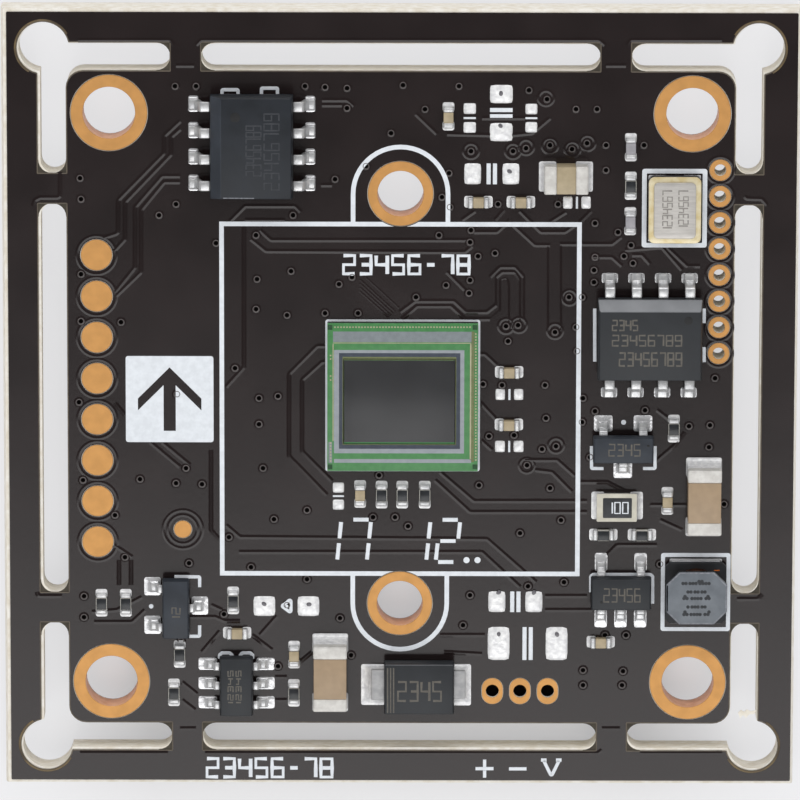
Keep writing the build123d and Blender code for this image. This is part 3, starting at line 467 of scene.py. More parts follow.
def add_fillet(work, land, metal, low, rise):
    """Solder drawn up in a hollow slope from its land to the metal that stands on it."""
    rows = []
    for share, lift in ((0, 0), (0.03, 0.03), (0.3, 0.06), (0.55, 0.18), (0.78, 0.45), (0.92, 0.75), (1, 1)):
        x0, y0, x1, y1 = [a + (b - a) * share for a, b in zip(land, metal)]
        loop = box_loop((x0 + x1) / 2, (y0 + y1) / 2, x1 - x0, y1 - y0, 0.09 * (1 - share) + 0.02)
        rows.append((low + max(rise, 0.05) * lift + (0.02 if share else 0), [loop]))
    add_stack(work, rows)


def islands(node):
    """The corners of each separate solid of a node, in mm and in a fixed order."""
    work = bmesh.new()
    work.from_mesh(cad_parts[node].data)
    bmesh.ops.remove_doubles(work, verts=work.verts, dist=1e-7)
    left, found = set(work.verts), []
    while left:
        island, edge = set(), {left.pop()}
        while edge:
            vert = edge.pop()
            island.add(vert)
            edge |= {e.other_vert(vert) for e in vert.link_edges} - island
        left -= island
        found.append(sorted(tuple(round(c / MM, 5) for c in v.co) for v in island))
    work.free()
    return sorted(found)


def flat_box(corners, top=False):
    """What a solid covers at its lowest or its highest level: x0, y0, x1, y1, level."""
    level = (max if top else min)(c[2] for c in corners)
    xs, ys = [[c[k] for c in corners if abs(c[2] - level) < 1e-3] for k in (0, 1)]
    return min(xs), min(ys), max(xs), max(ys), level


def top_of(node):
    """The highest level of a node, in mm."""
    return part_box(node)[1].z / MM


def softened(name, node, material, edge, segments=2):
    """A copy of a node's solids with their edges rounded by edge mm, standing in their place."""
    work = bmesh.new()
    work.from_mesh(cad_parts[node].data)
    bmesh.ops.remove_doubles(work, verts=work.verts, dist=1e-7)
    bmesh.ops.dissolve_limit(work, angle_limit=math.radians(1), verts=work.verts, edges=work.edges)
    edges = [e for e in work.edges if len(e.link_faces) == 2 and e.calc_face_angle(0) > math.radians(20)]
    bmesh.ops.bevel(
        work, geom=edges, offset=edge * MM, segments=segments, profile=0.5, affect="EDGES", clamp_overlap=True
    )
    return place_bmesh(name, work, material, [node])


def retouch(made, material, chosen):
    """Gives the faces of a piece that a test picks a second finish."""
    made.data.materials.append(FINISHES[material])
    for face in made.data.polygons:
        if chosen(face):
            face.material_index = 1


# Node trees for what repeats or follows a path

def new_tree(name, inputs):
    """An empty geometry tree with named inputs; gives the tree and its input sockets."""
    tree = bpy.data.node_groups.new(name, "GeometryNodeTree")
    tree.is_modifier = True
    tree.interface.new_socket("Geometry", in_out="INPUT", socket_type="NodeSocketGeometry")
    for label, kind in inputs.items():
        tree.interface.new_socket(label, in_out="INPUT", socket_type=kind)
    tree.interface.new_socket("Geometry", in_out="OUTPUT", socket_type="NodeSocketGeometry")
    return tree, add_node(tree, "NodeGroupInput").outputs


def close_tree(tree, geometry, material):
    """Ends a tree in Realize Instances and Set Material."""
    real = add_node(tree, "GeometryNodeRealizeInstances", {"Geometry": geometry}).outputs["Geometry"]
    coated = add_node(tree, "GeometryNodeSetMaterial", {"Geometry": real, "Material": material})
    add_node(tree, "NodeGroupOutput", {"Geometry": coated.outputs["Geometry"]})
    return tree


def repeat_tree():
    """Copies a template to every point, turned and sized by the point's own values."""
    inputs = {"Template": "NodeSocketObject", "Finish": "NodeSocketMaterial"}
    tree, given = new_tree("Repeat at places", inputs)
    named = "GeometryNodeInputNamedAttribute"
    turn = add_node(tree, named, {"Name": "turn"}, data_type="FLOAT").outputs["Attribute"]
    size = add_node(tree, named, {"Name": "size"}, data_type="FLOAT_VECTOR").outputs["Attribute"]
    euler = add_node(tree, "ShaderNodeCombineXYZ", {"Z": turn}).outputs["Vector"]
    spin = add_node(tree, "FunctionNodeEulerToRotation", {"Euler": euler}).outputs["Rotation"]
    template = add_node(tree, "GeometryNodeObjectInfo", {"Object": given["Template"]}).outputs["Geometry"]
    spread = {"Points": given["Geometry"], "Instance": template, "Rotation": spin, "Scale": size}
    copies = add_node(tree, "GeometryNodeInstanceOnPoints", spread).outputs["Instances"]
    return close_tree(tree, copies, given["Finish"])


def track_tree():
    """Sweeps a low trapezium along paths with their bends rounded."""
    inputs = dict.fromkeys(("Width", "Height", "Bend", "Crown"), "NodeSocketFloat")
    inputs["Finish"] = "NodeSocketMaterial"
    tree, given = new_tree("Low ridge along a path", inputs)
    curve = add_node(tree, "GeometryNodeMeshToCurve", {"Mesh": given["Geometry"]}).outputs["Curve"]
    bent = {"Curve": curve, "Radius": given["Bend"], "Limit Radius": True, "Count": 3}
    curve = add_node(tree, "GeometryNodeFilletCurve", bent, mode="POLY").outputs["Curve"]
    curve = add_node(tree, "GeometryNodeSetCurveNormal", {"Curve": curve}, mode="Z_UP").outputs["Curve"]
    top = add_node(tree, "ShaderNodeMath", {0: given["Width"], 1: given["Crown"]}, operation="MULTIPLY")
    # The profile's own upper side ends up below
    sides = {"Bottom Width": top.outputs["Value"], "Top Width": given["Width"]}
    sides |= {"Height": given["Height"], "Offset": 0.0}
    profile = add_node(tree, "GeometryNodeCurvePrimitiveQuadrilateral", sides, mode="TRAPEZOID")
    swept = {"Curve": curve, "Profile Curve": profile.outputs["Curve"], "Fill Caps": True}
    ridge = add_node(tree, "GeometryNodeCurveToMesh", swept).outputs["Mesh"]
    return close_tree(tree, ridge, given["Finish"])


def grown(tree, source, inputs):
    """Runs a tree on a mesh and gives back the plain mesh that it makes."""
    carrier = bpy.data.objects.new("carrier", source)
    bpy.context.scene.collection.objects.link(carrier)
    modifier = carrier.modifiers.new("make", "NODES")
    modifier.node_group = tree
    for item in tree.interface.items_tree:
        if item.in_out == "INPUT" and item.name in inputs:
            modifier[item.identifier] = inputs[item.name]
    graph = bpy.context.evaluated_depsgraph_get()
    ready = carrier.evaluated_get(graph)
    mesh = bpy.data.meshes.new_from_object(ready, preserve_all_data_layers=True, depsgraph=graph)
    carrier.modifiers.remove(modifier)
    bpy.data.objects.remove(carrier)
    if not mesh.polygons:
        raise RuntimeError("the tree " + tree.name + " made nothing")
    return mesh


def repeated(name, template, places, material, replaces=(), sharp=35):
    """One piece made of a template at each place: x, y and level in mm, then a turn in degrees and a size."""
    places = [(*place, 0, (1, 1, 1))[:5] for place in places]
    points = bpy.data.meshes.new("places")
    points.from_pydata([[c * MM for c in place[:3]] for place in places], [], [])
    turns = [math.radians(place[3]) for place in places]
    points.attributes.new("turn", "FLOAT", "POINT").data.foreach_set("value", turns)
    sizes = [value for place in places for value in place[4]]
    points.attributes.new("size", "FLOAT_VECTOR", "POINT").data.foreach_set("vector", sizes)
    bmesh.ops.recalc_face_normals(template, faces=template.faces)
    shape = bpy.data.meshes.new("template")
    template.to_mesh(shape)
    template.free()
    model = bpy.data.objects.new("template", shape)
    mesh = grown(repeat_tree(), points, {"Template": model, "Finish": FINISHES[material]})
    bpy.data.objects.remove(model)
    return place_mesh(name, mesh, material, replaces, sharp)


def tracked(name, paths, width, height, material, slot=None, bend=0.15, level=None, crown=0.85, sharp=60):
    """One piece of low ridges along flat paths, on the board's face or at a given level, all in mm."""
    base = FACE if level is None else level
    source = bpy.data.meshes.new("paths")
    points, edges = [], []
    for path in paths:
        edges += [(len(points) + i, len(points) + i + 1) for i in range(len(path) - 1)]
        points += [(x * MM, y * MM, (base + 0.45 * height) * MM) for x, y in path]
    source.from_pydata(points, edges, [])
    inputs = {"Width": width * MM, "Height": height * MM, "Bend": bend * MM, "Crown": crown}
    made = grown(track_tree(), source, inputs | {"Finish": FINISHES[material]})
    return place_mesh(name, made, material, (), sharp)


def pillow(power=9.0, sides=24, rings=5):
    """A domed patch a millimetre long, wide and high, its footprint a rounded rectangle."""
    work = bmesh.new()
    rows = []
    for i in range(rings + 1):
        share = math.sin(math.pi / 2 * i / rings)
        level = (1 - share ** 3) ** 0.6
        row = []
        for j in range(sides):
            t = 2 * math.pi * j / sides
            c, s = math.cos(t), math.sin(t)
            reach = share / 2 / (abs(c) ** power + abs(s) ** power) ** (1 / power)
            row.append(work.verts.new((c * reach * MM, s * reach * MM, level * MM)) if i else None)
        rows.append(row)
    top = work.verts.new((0, 0, MM))
    rows[0] = [top] * sides
    for low, high in zip(rows, rows[1:]):
        for i in range(sides):
            corners = (high[i], high[(i + 1) % sides], low[(i + 1) % sides], low[i])
            work.faces.new(list(dict.fromkeys(corners)))
    work.faces.new(reversed(rows[-1]))
    return work


def from_photo(px, py, height=0.0):
    """Where a point of the photograph lies, height mm above the board's face."""
    c, s = math.cos(TILT), math.sin(TILT)
    right = Vector((1, 0, 0)) * math.cos(ROLL) + Vector((0, c, -s)) * math.sin(ROLL)
    up = Vector((0, c, -s)) * math.cos(ROLL) - Vector((1, 0, 0)) * math.sin(ROLL)
    back = Vector((0, s, c))
    aim = right * (px - PHOTO_CENTRE[0]) - up * (py - PHOTO_CENTRE[1]) - back * FOCAL_PIXELS
    reach = (height - DISTANCE * back.z) / aim.z
    spot = back * DISTANCE + aim * reach
    return spot.x, spot.y


def px_box(x0, y0, x1, y1, height=0.0):
    """A rectangle of the photograph as x0, y0, x1, y1 in mm."""
    left, top = from_photo(x0, y0, height)
    right, bottom = from_photo(x1, y1, height)
    return left, bottom, right, top


def photo_loop(box, height):
    """The outline of a rectangle of the photograph."""
    x0, y0, x1, y1 = px_box(*box, height)
    return [(x1, y1), (x0, y1), (x0, y0), (x1, y0)]


def spots_of(table):
    """The points of a text that gives each as x,y in the photograph's pixels."""
    return [tuple(map(float, spot.split(","))) for spot in table.split()]


def rows_of(table):
    """The paths of a text of such points on the board's face in mm, each on a row or between semicolons."""
    paths = [spots_of(path) for path in table.replace("\n", ";").split(";") if path.strip()]
    return [[from_photo(*spot) for spot in path] for path in paths]


def seats(spots, level=FACE):
    """Places at a level for what is repeated at points of the photograph."""
    return [(*from_photo(*spot, level - FACE), level) for spot in spots]


# Corners of a plain figure, and the strokes of each figure through them
CORNERS = {
    "a": (0, 1), "b": (1, 1), "c": (0, 0.5), "d": (1, 0.5), "e": (0, 0), "f": (1, 0),
    "C": (0.16, 0.5), "D": (0.84, 0.5),
}
FIGURES = {
    "0": "cabdfec", "1": "bdf", "2": "abdcef", "3": "abdfe CD", "4": "acD bdf", "5": "bacdfe", "6": "bacefdC",
    "7": "abdf", "8": "cabdfec CD", "9": "efdbacD", "-": "CD", " ": "",
}
FIGURE_WIDTH = 0.68


def figures(text, box, height=0.0, turn=0, lean=0.0, cut=0.0):
    """Paths of plain figures that fill a rectangle of the photograph; a cut leaves each stroke by itself."""
    x0, y0, x1, y1 = px_box(*box, height)
    along, tall = (x1 - x0, y1 - y0) if turn % 180 == 0 else (y1 - y0, x1 - x0)
    pitch = along / (len(text) - 1 + FIGURE_WIDTH)
    paths = []
    for i, mark in enumerate(text):
        for line in FIGURES[mark].split():
            spots = [
                ((i + u * FIGURE_WIDTH) * pitch - along / 2 + lean * (v - 0.5) * tall, (v - 0.5) * tall)
                for u, v in map(CORNERS.get, line)
            ]
            spots = [(x + (x0 + x1) / 2, y + (y0 + y1) / 2) for x, y in turned(spots, turn)]
            if not cut:
                paths.append(spots)
                continue
            for a, b in zip(spots, spots[1:]):
                share = cut / math.dist(a, b)
                paths.append([tuple(p + (q - p) * share for p, q in zip(*pair)) for pair in ((a, b), (b, a))])
    return paths


# Places read from the photograph, in its pixels
VIAS = """
175,86 196,86 80,178 81,199 305,86 325,87 347,88 347,108 391,133 335,179 366,166 403,85 459,86 529,90 547,99
425,109 576,109 597,109 471,151 513,151 526,148 550,145 572,149 587,143 449,173 442,197 606,145 644,145
606,170 81,274 81,321 121,322 159,215 176,204 177,394 293,215 256,235 216,243 257,279 291,271 339,284 352,277
256,309 287,315 325,313 358,313 235,368 259,398 278,396 498,204 450,207 558,204 439,235 471,230 470,242
478,256 495,253 470,280 469,293 446,285 416,297 506,326 518,325 508,341 555,332 569,297 582,297 576,327
577,351 595,257 594,270 594,282 595,223 545,385 483,384 502,385 583,398 618,232 631,245 624,256 633,263
715,378 79,402 83,480 115,515 125,557 140,479 176,483 186,468 189,563 84,596 259,424 263,468 202,484 274,519
307,510 229,537 251,567 307,579 379,475 373,517 395,517 489,436 514,435 546,418 542,449 556,446 527,465
479,485 550,488 561,520 520,533 564,582 528,586 470,595 408,526 582,422 595,411 590,457 645,410 689,426
710,425 709,447 724,504 660,564 84,617 181,641 224,614 340,618 278,666 351,655 287,605 463,625 583,670 583,685
605,635 623,671 622,685 626,635
"""
# Small holes whose copper ring shows as a step round them
RINGED_HOLES = """
546,98 526,147 550,146 572.5,149.5 587.5,143 513,151 471,151 555,331 569.5,297.5 519,325 506,326
526.75,465.5 556,445.5
"""
# Lines where the coating steps over the edges of tracks
TRACK_EDGES = """
180,121 164,136 164,153 118,200 118,233 103,238; 180,129 171,137 171,154 125,202 125,239 114,251
180,176 162,176 135,207 135,267 115,292; 180,182 164,182 141,210 141,272 116,296; 322,100 347,100 354,106
322,105 342,105; 321,185 332,185; 230,221 245,206 295,206 301,212; 245,220 285,220; 260,230 271,240 467,240
251,239 266,251 465,252 472,246; 244,225 244,367 226,387; 416,114 437,134; 447,134 490,135
512,135 532,133 550,118; 482,118 525,118; 462,220 475,211; 472,232 497,232 510,220; 495,220 504,210
520,211 541,232 565,232 575,225; 510,222 535,245 550,245; 550,222 566,212; 580,222 591,211
560,244 612,244 621,237; 400,312 415,301 454,301 466,312 487,312 496,305; 496,277 502,272 515,272 520,280
402,319 417,306 451,306 465,319 490,319; 490,277 500,267 515,267 524,277; 592,257 612,257 622,266
632,255 642,255 650,264; 625,250 662,247 682,270; 667,247 687,266 700,266; 447,272 465,290; 115,403 125,415
150,442 180,467; 162,442 190,465; 211,450 211,530 220,540; 325,346 317,346 289,374 289,456 327,495
325,362 322,362 302,380 302,451 332,481; 226,525 240,537 487,539 536,582; 239,552 482,552 520,587
114,545 132,557; 119,560 119,585; 131,560 131,585; 92,612 117,610 142,597; 94,622 132,622 145,610
211,605 222,610; 187,617 215,617 225,621 240,621; 202,652 220,631; 260,635 277,616; 252,635 272,650
182,682 197,694; 182,700 195,710; 300,662 312,652; 275,677 287,677; 275,700 287,700; 480,354 485,354 497,365
480,402 497,420; 481,440 492,450; 440,472 474,501 587,501; 435,480 470,512 587,512; 525,460 557,460 575,476
535,470 552,472 572,492; 545,596 587,596; 545,610 592,610; 440,635 485,635; 444,652 482,654
580,482 607,482 625,491; 650,505 687,505; 660,520 682,530; 607,555 617,545 657,545; 655,462 675,445 685,432
657,410 670,420; 33,206 35,200 40,197.5 60,197.5 60,172; 745,196 746,198.5 762,199 767,205
37,592 38,596 62,596; 737,599 758,599 762,594; 590,40 599,40 605,45; 627,45 631,40 640,40; 606,65.5 626,65.5
602,728.5 620,728.5; 590,753 598,753 602,750; 176,65.5 194,65.5; 174,45 170,40 160,40; 196,45 201,40 211,40
180,728.5 196,728.5; 205,753 590,753; 640,753 722,753; 80,753 168,753; 211,40 590,40; 640,40 722,40
78,40 160,40
"""
# The same for thin tracks and those that run close together
FINE_EDGES = """
360,279.5 395,311.5; 360,283.5 393,313.5; 360,287.5 391,315.5; 360,291.5 389,317.5; 366,277.5 399,308
548,245 548,330; 561,245 561,330; 490,319 500,310 500,280 507,277 509,285 509,322; 524,277 524,320
496,305 496,277; 520,280 520,322
"""
# Strokes of white ink: the bars, brackets and signs round the parts
PRINT_STROKES = """
222,95 222,89.8 238,89.8 238,95; 261.5,95 261.5,88.2 277.5,88.2 277.5,95; 594.8,308.5 594.8,361.5
704.1,308.5 704.1,323; 704.1,347 704.1,362; 655,446 655,468.4 643,468.4; 591.6,446 591.6,468.4 603.5,468.4
590.8,592 590.8,576.5 593,574.6 650.5,574.6 652.6,576.5 652.6,603.5; 174.5,576.8 199.6,576.8 199.6,587
189.2,636.2 199.6,636.2 199.6,625.2; 219.6,658.5 219.6,655 222,652.9 229.6,652.9 232,655 232,658.5
240.3,658.5 240.3,655 242.6,652.9 250.2,652.9 252.6,655 252.6,658.5
286.3,602.6 290.9,599.2 290.9,612.8 281.8,606 286.3,602.6; 475.5,768.6 493.5,768.6; 484.6,759.5 484.6,766.8
484.6,770.4 484.6,777.5; 509,768.8 526.5,768.8; 543.8,760.8 551.4,776.2 559,760.8; 541,760 546.5,760
556,760 561.5,760
"""
# Layers of the sensor's die: finish, rise in mm, then rectangles of the photograph, some with one left out
SENSOR_LAYERS = [
    ("die_grey", 0.002, [[(333, 331.5, 472, 342.3)], [(328.5, 442, 332, 463)]]),
    ("die_pale", 0.003, [[(334, 350, 464, 453.5), (339, 353, 460, 449)], [(334, 459, 471, 463)]]),
    ("die_blue", 0.004, [[(339, 353, 460, 449), (342.6, 356.8, 456, 445)]]),
    ("die_olive", 0.003, [[(342.6, 356.8, 456, 445), (344, 360, 454.6, 443.6)], [(471.6, 331.5, 474, 462)]]),
    ("die_beige", 0.003, [
        [(333, 342.6, 472, 343.6)], [(470.1, 344, 471, 460)], [(332.6, 344, 333.5, 441)],
        [(343.2, 358.6, 455.4, 444.4), (344, 359.4, 454.6, 443.6)],
    ]),
    ("die_dark_green", 0.005, [
        [(327.6, 324.8, 332.4, 329.8)], [(472.6, 324.8, 477.4, 329.8)],
        [(327.6, 464.5, 332.4, 469.2)], [(472.6, 464.5, 477.4, 469.2)],
    ]),
]
BOND_PAD_SPOTS = (
    [(x, 327.2) for x in range(335, 472, 3)] + [(475.8, y) for y in range(334, 462, 3)]
    + [(330.6, y) for y in (355.5, 359, 376, 380, 443, 446, 449, 452, 455, 458, 461)]
)
# Plain printed figures: text, rectangle in the photograph, stroke width, lean and cut in mm
PRINT_FIGURES = [
    ("17 12", (319, 519.5, 458, 562), 0.2, 0.1, 0.12),
    ("23456-78", (343.5, 255.5, 469, 274), 0.19, 0.0, 0.0),
    ("23456-78", (207, 758.5, 332, 777), 0.19, 0.0, 0.0),
]
# Printed frames round parts: centre, width, depth and line in mm
PART_FRAMES = ((13.05, 9.33, 3.1, 3.8, 0.22), (14.22, -9.41, 3.34, 3.84, 0.19), (0.12, 0.2, 7.4, 7.4, 0.1))
# White dots: place in the photograph and radius in mm
PRINT_DOTS = (
    (623.6, 422.2, 0.12), (151.2, 606.2, 0.11), (286.9, 606, 0.07), (466.5, 560, 0.15), (477.5, 560, 0.15),
)
# Plain figures on the parts: what carries them, text, rectangle in the photograph, turn, stroke width in mm
CHIP_FIGURES = [
    ("memory_body", "23456789", (619.5, 353, 681.5, 366), 0, 0.1),
    ("memory_body", "23456789", (612.5, 335.5, 681.5, 346), 0, 0.09),
    ("memory_body", "2345", (612.5, 320.5, 637.5, 330.5), 0, 0.09),
    ("driver_body", "23456789", (246, 126, 261, 176), 90, 0.08),
    ("driver_body", "23456789", (264, 114, 279, 190), 90, 0.08),
    ("regulator_body", "23456", (604, 589, 640, 602), 0, 0.08),
    ("transistor_right_body", "2345", (609, 444.5, 640, 456), 0, 0.08),
    ("transistor_left_body", "12", (172, 608, 180, 623), 90, 0.07),
    ("diode_body", "2345", (398, 682, 441, 701), 0, 0.12),
    ("filter_body", "12345", (228, 671, 233, 708), 90, 0.07),
    ("filter_body", "12345", (236, 671, 241, 708), 90, 0.07),
    ("crystal_lid", "1234567", (663, 191, 672, 232), 90, 0.07),
    ("crystal_lid", "1234567", (679, 191, 688, 230), 90, 0.07),
]
CHIP_MARKS = {"crystal_lid": "lid_mark", "driver_body": "faint_mark"}
# Dimples at the first lead: what carries them, place in the photograph, radius in mm
CHIP_DOTS = [
    ("memory_body", 688.6, 320.8, 0.2), ("driver_body", 235, 117.5, 0.24),
    ("regulator_body", 601.5, 602.5, 0.07), ("transistor_right_body", 648.3, 446, 0.06),
]
# Moulded parts: finish, then the finish of a bevel and the side that it faces; the bevel's finish is lighter
# than the body's, painted light on that side
PACKAGES = {
    "memory": ("package", "rubbed_package", (0, 1)), "regulator": ("package", None, None),
    "diode": ("package", "worn_package", (0, 1)), "filter": ("package", None, None),
    "driver": ("driver_package", "blue_package", (-1, 0)), "transistor_left": ("blue_package", None, None),
    "transistor_right": ("blue_package", None, None),
}
LEADED = ("driver", "memory", "transistor_left", "transistor_right", "regulator", "filter")
WIDE_CHIPS = ("driver", "memory")
# Only the diode's two lands are longer than this, in mm, and they are made with its feet
LONG_LAND = 2.0
# Painted shade: dark spots on the open pads
PAD_SHADE_SPOTS = """
501,93.5 500.5,126 509.5,171.5 474,173 498.7,592.5 534,592.5 498.7,634.5 557,634.5 264,604 309,604.5
"""
# The diode's lands and the feet on them, as rectangles of the photograph
DIODE_FEET = [
    ((361, 664, 385, 705), (371, 670, 387, 700)), ((448.5, 664, 471, 705.5), (446.5, 671, 465.5, 699)),
]
# Height of what is marked on the parts, in mm
MARK_HEIGHT = 0.004
# Torn glass fibres at the end of a slot
FIBRES = "738,713 741,710 744,712 747,709.5 751,711.5 757,710 754,714 749,714.5 746,718 743,715 740,718.5"
# Rows of dots on the inductor: level line, then where the dots lie along it
DOT_ROWS = {
    583.5: (683, 686, 690, 693, 696, 700, 703, 706, 709), 592: (688, 691, 695, 698, 702, 705),
    598.5: (684, 687, 692, 695, 698, 701, 706, 709), 607: (688, 692, 695, 698, 702, 705),
    614.5: (684, 687, 691, 694, 697, 700, 705, 708), 581.5: (699, 702), 596.5: (685, 708), 612: (685, 709),
}


class CAMERABOARD_OT_finishes(bpy.types.Operator):
    """Makes every finish of the board"""

    bl_idname = "camera_board.finishes"
    bl_label = "Finishes"

    def execute(self, context):
        make_finishes(context.scene.board_colours)
        return {"FINISHED"}


class CAMERABOARD_OT_board(bpy.types.Operator):
    """Makes the laminate with its routed slots, and the coatings of both sides"""

    bl_idname = "camera_board.board"
    bl_label = "Board"

    def execute(self, context):
        rounds = [circle(*p, MOUNT_RING[0]) for p in MOUNT_PLACES]
        rounds += [circle(*p, LENS_RING[0]) for p in LENS_PLACES]
        rounds += [circle(*p, HEADER_RING[0], 20) for p in HEADER_PLACES]
        rounds += [circle(*p, CABLE_RING[0], 20) for p in CABLE_PLACES]
        wide, narrow = 2 * HALF, 2 * (HALF - EDGE_BEVEL_WIDTH)
        rows = [
            (REAR_FACE + REAR_COAT, narrow), (REAR_FACE + EDGE_BEVEL_DEPTH, wide),
            (CORE_TOP - EDGE_BEVEL_DEPTH, wide), (CORE_TOP, narrow),
        ]
        work = bmesh.new()
        holes = slot_loops() + rounds
        add_stack(work, [(level, [box_loop(0, 0, side, side, 0.1)] + holes) for level, side in rows])
        made = place_bmesh("laminate", work, "laminate", ["board_core"], 30)
        centres = [(x * MM, y * MM) for x, y in MOUNT_PLACES + LENS_PLACES]
        drilled = lambda face: min(math.dist(face.center[:2], centre) for centre in centres) < 1.5 * MM
        retouch(made, "plated_wall", lambda face: abs(face.normal.z) < 0.5 and drilled(face))

        shape = [box_loop(0, 0, narrow, narrow, 0.1)] + window_loops() + rounds
        plates("rear_coating", [shape], REAR_FACE, REAR_FACE + REAR_COAT, "mask", ())

        corners = []
        radius, half = SLOT_HALF + 0.03, WINDOW_HALF - 0.01
        for turn in (0, 90, 180, 270):
            for at, way in ((CENTRE_SLOT_HALF, 1), (-CENTRE_SLOT_HALF, -1), (ARM_END, -1), (-ARM_END, 1)):
                middle = at - way * radius
                near, far = WINDOW_LINE + way * half, WINDOW_LINE - way * half
                bow = arc(middle, WINDOW_LINE, radius, -90 * way, 180 - 90 * way, 12)
                patch = [(at, near), (at, far), (middle, far)] + bow + [(middle, near)]
                corners.append([turned(patch, turn)])
        plates("bare_window_corners", corners, CORE_TOP, CORE_TOP + 0.008, "bare_laminate", ())
        fibres = [from_photo(*spot) for spot in reversed(spots_of(FIBRES))]
        plates("broken_fibres", [[fibres]], CORE_TOP, CORE_TOP + 0.06, "laminate", ())

        openings = window_loops() + [cable_loop(*p, CABLE_RING[1] + MASK_GAP) for p in CABLE_PLACES]
        for places, radius, sides in (
            (MOUNT_PLACES, MOUNT_RING[1], 48), (LENS_PLACES, LENS_RING[1], 48),
            (HEADER_PLACES, HEADER_RING[1], 28), (CONTACT_PLACES, CONTACT_RADIUS, 32),
            (TEST_PLACE, TEST_RADIUS, 32),
        ):
            openings += [circle(*p, radius + MASK_GAP, sides) for p in places]
        left, right, low, high = MASK_MARGINS
        edge = box_loop((left - right) / 2, (low - high) / 2, wide - left - right, wide - low - high, 0.06)
        plates("front_coating", [[edge] + openings], CORE_TOP, FACE, "mask", ["front_mask"])
        return {"FINISHED"}


class CAMERABOARD_OT_tracks(bpy.types.Operator):
    """Makes the steps over the copper tracks, the collars of the pads and the small holes"""

    bl_idname = "camera_board.tracks"
    bl_label = "Tracks and small holes"

    def execute(self, context):
        sizes = context.scene.board_sizes
        width, height = sizes.trace_width / MM, sizes.trace_height / MM
        ridge = {"material": "mask", "slot": "solder_mask", "crown": 0.06, "sharp": 8}
        tracked("track_edges", rows_of(TRACK_EDGES), width, height, **ridge)
        tracked("close_track_edges", rows_of(FINE_EDGES), 0.5 * width, 0.6 * height, **ridge)
        lips = [loop + loop[:1] for loop in window_loops()]
        tracked("window_lips", lips, 0.06, 0.012, "lip", "solder_mask", bend=0.02, crown=0.5)
        bend = arc(CORNER_LINE, CORNER_LINE, CORNER_HOLE_RADIUS + 0.12, 150, -60, 28)
        bends = [turned(bend, turn) for turn in (0, 90, 180, 270)]
        tracked("corner_hole_rims", bends, 0.1, 0.012, "amber_lip", "solder_mask", 0.0)

        places = seats(spots_of(VIAS))
        rim = [(0, 0), (0.25, 0), (0.205, 0.026), (0.17, 0.034), (0.135, 0.03), (0.115, 0.01), (0, 0.01)]
        repeated("small_hole_rims", lathed(rim, 18), places, "mask", (), 60)
        # Painted highlight: a lighter ring round each small hole
        lip = [(0.11, 0.03), (0.165, 0.032), (0.15, 0.038), (0.12, 0.037), (0.11, 0.03)]
        repeated("small_hole_lips", lathed(lip, 16), places, "via_lip_highlight", (), 60)
        # Painted shade: a near-black disc in each small hole
        hole = [(0, 0.009), (0.12, 0.009), (0.115, 0.013), (0, 0.013)]
        repeated("small_holes", lathed(hole, 14), places, "hole", ())

        collars = [(*p, 0.93) for p in CONTACT_PLACES] + [(*p, 0.64) for p in HEADER_PLACES]
        collars += [(*p, radius) for p in TEST_PLACE for radius in (0.7, 0.94)]
        collars += [(*from_photo(*spot), 0.35) for spot in spots_of(RINGED_HOLES)]
        half, crown, top = 0.1, 0.0125, FACE + 0.5 * height
        work = bmesh.new()
        for x, y, radius in collars:
            profile = [(radius - half, FACE), (radius + half, FACE)]
            profile += [(radius + crown, top), (radius - crown, top)]
            add_lathe(work, profile + profile[:1], 40, x, y)
        place_bmesh("pad_collars", work, "mask", (), 60)
        return {"FINISHED"}


class CAMERABOARD_OT_gold(bpy.types.Operator):
    """Makes the gold rings and pads"""

    bl_idname = "camera_board.gold"
    bl_label = "Gold pads"

    def execute(self, context):
        top, edge = FACE - CORE_TOP - 0.01, 0.015
        for name, node, places, inner, outer, sides in (
            ("mounting_rings", "mounting_hole_rings", MOUNT_PLACES, *MOUNT_RING, 48),
            ("lens_rings", "lens_hole_rings", LENS_PLACES, *LENS_RING, 48),
            ("header_rings", "header_hole_rings", HEADER_PLACES, *HEADER_RING, 32),
            ("round_contacts", "contact_pads", CONTACT_PLACES, 0, CONTACT_RADIUS, 32),
            ("test_pad", "test_point", TEST_PLACE, 0, TEST_RADIUS, 32),
        ):
            profile = [(inner, 0), (outer, 0), (outer, top - edge), (outer - edge, top)]
            profile += [(inner + edge, top), (inner, top - edge), (inner, 0)] if inner else [(0, top)]
            at = [(x, y, CORE_TOP) for x, y in places]
            repeated(name, lathed(profile, sides), at, "gold", [node])
        rings = [[cable_loop(*p, CABLE_RING[1]), circle(*p, CABLE_RING[0], 24)] for p in CABLE_PLACES]
        plates("cable_rings", rings, CORE_TOP, CORE_TOP + top, "gold", ["cable_hole_rings"])
        # Painted shade: a dark plug inside each cable hole
        shades = [[circle(*p, CABLE_RING[0], 24)] for p in CABLE_PLACES]
        plates("cable_hole_shade", shades, REAR_FACE + 0.6, FACE - 0.25, "hole", ())
        return {"FINISHED"}


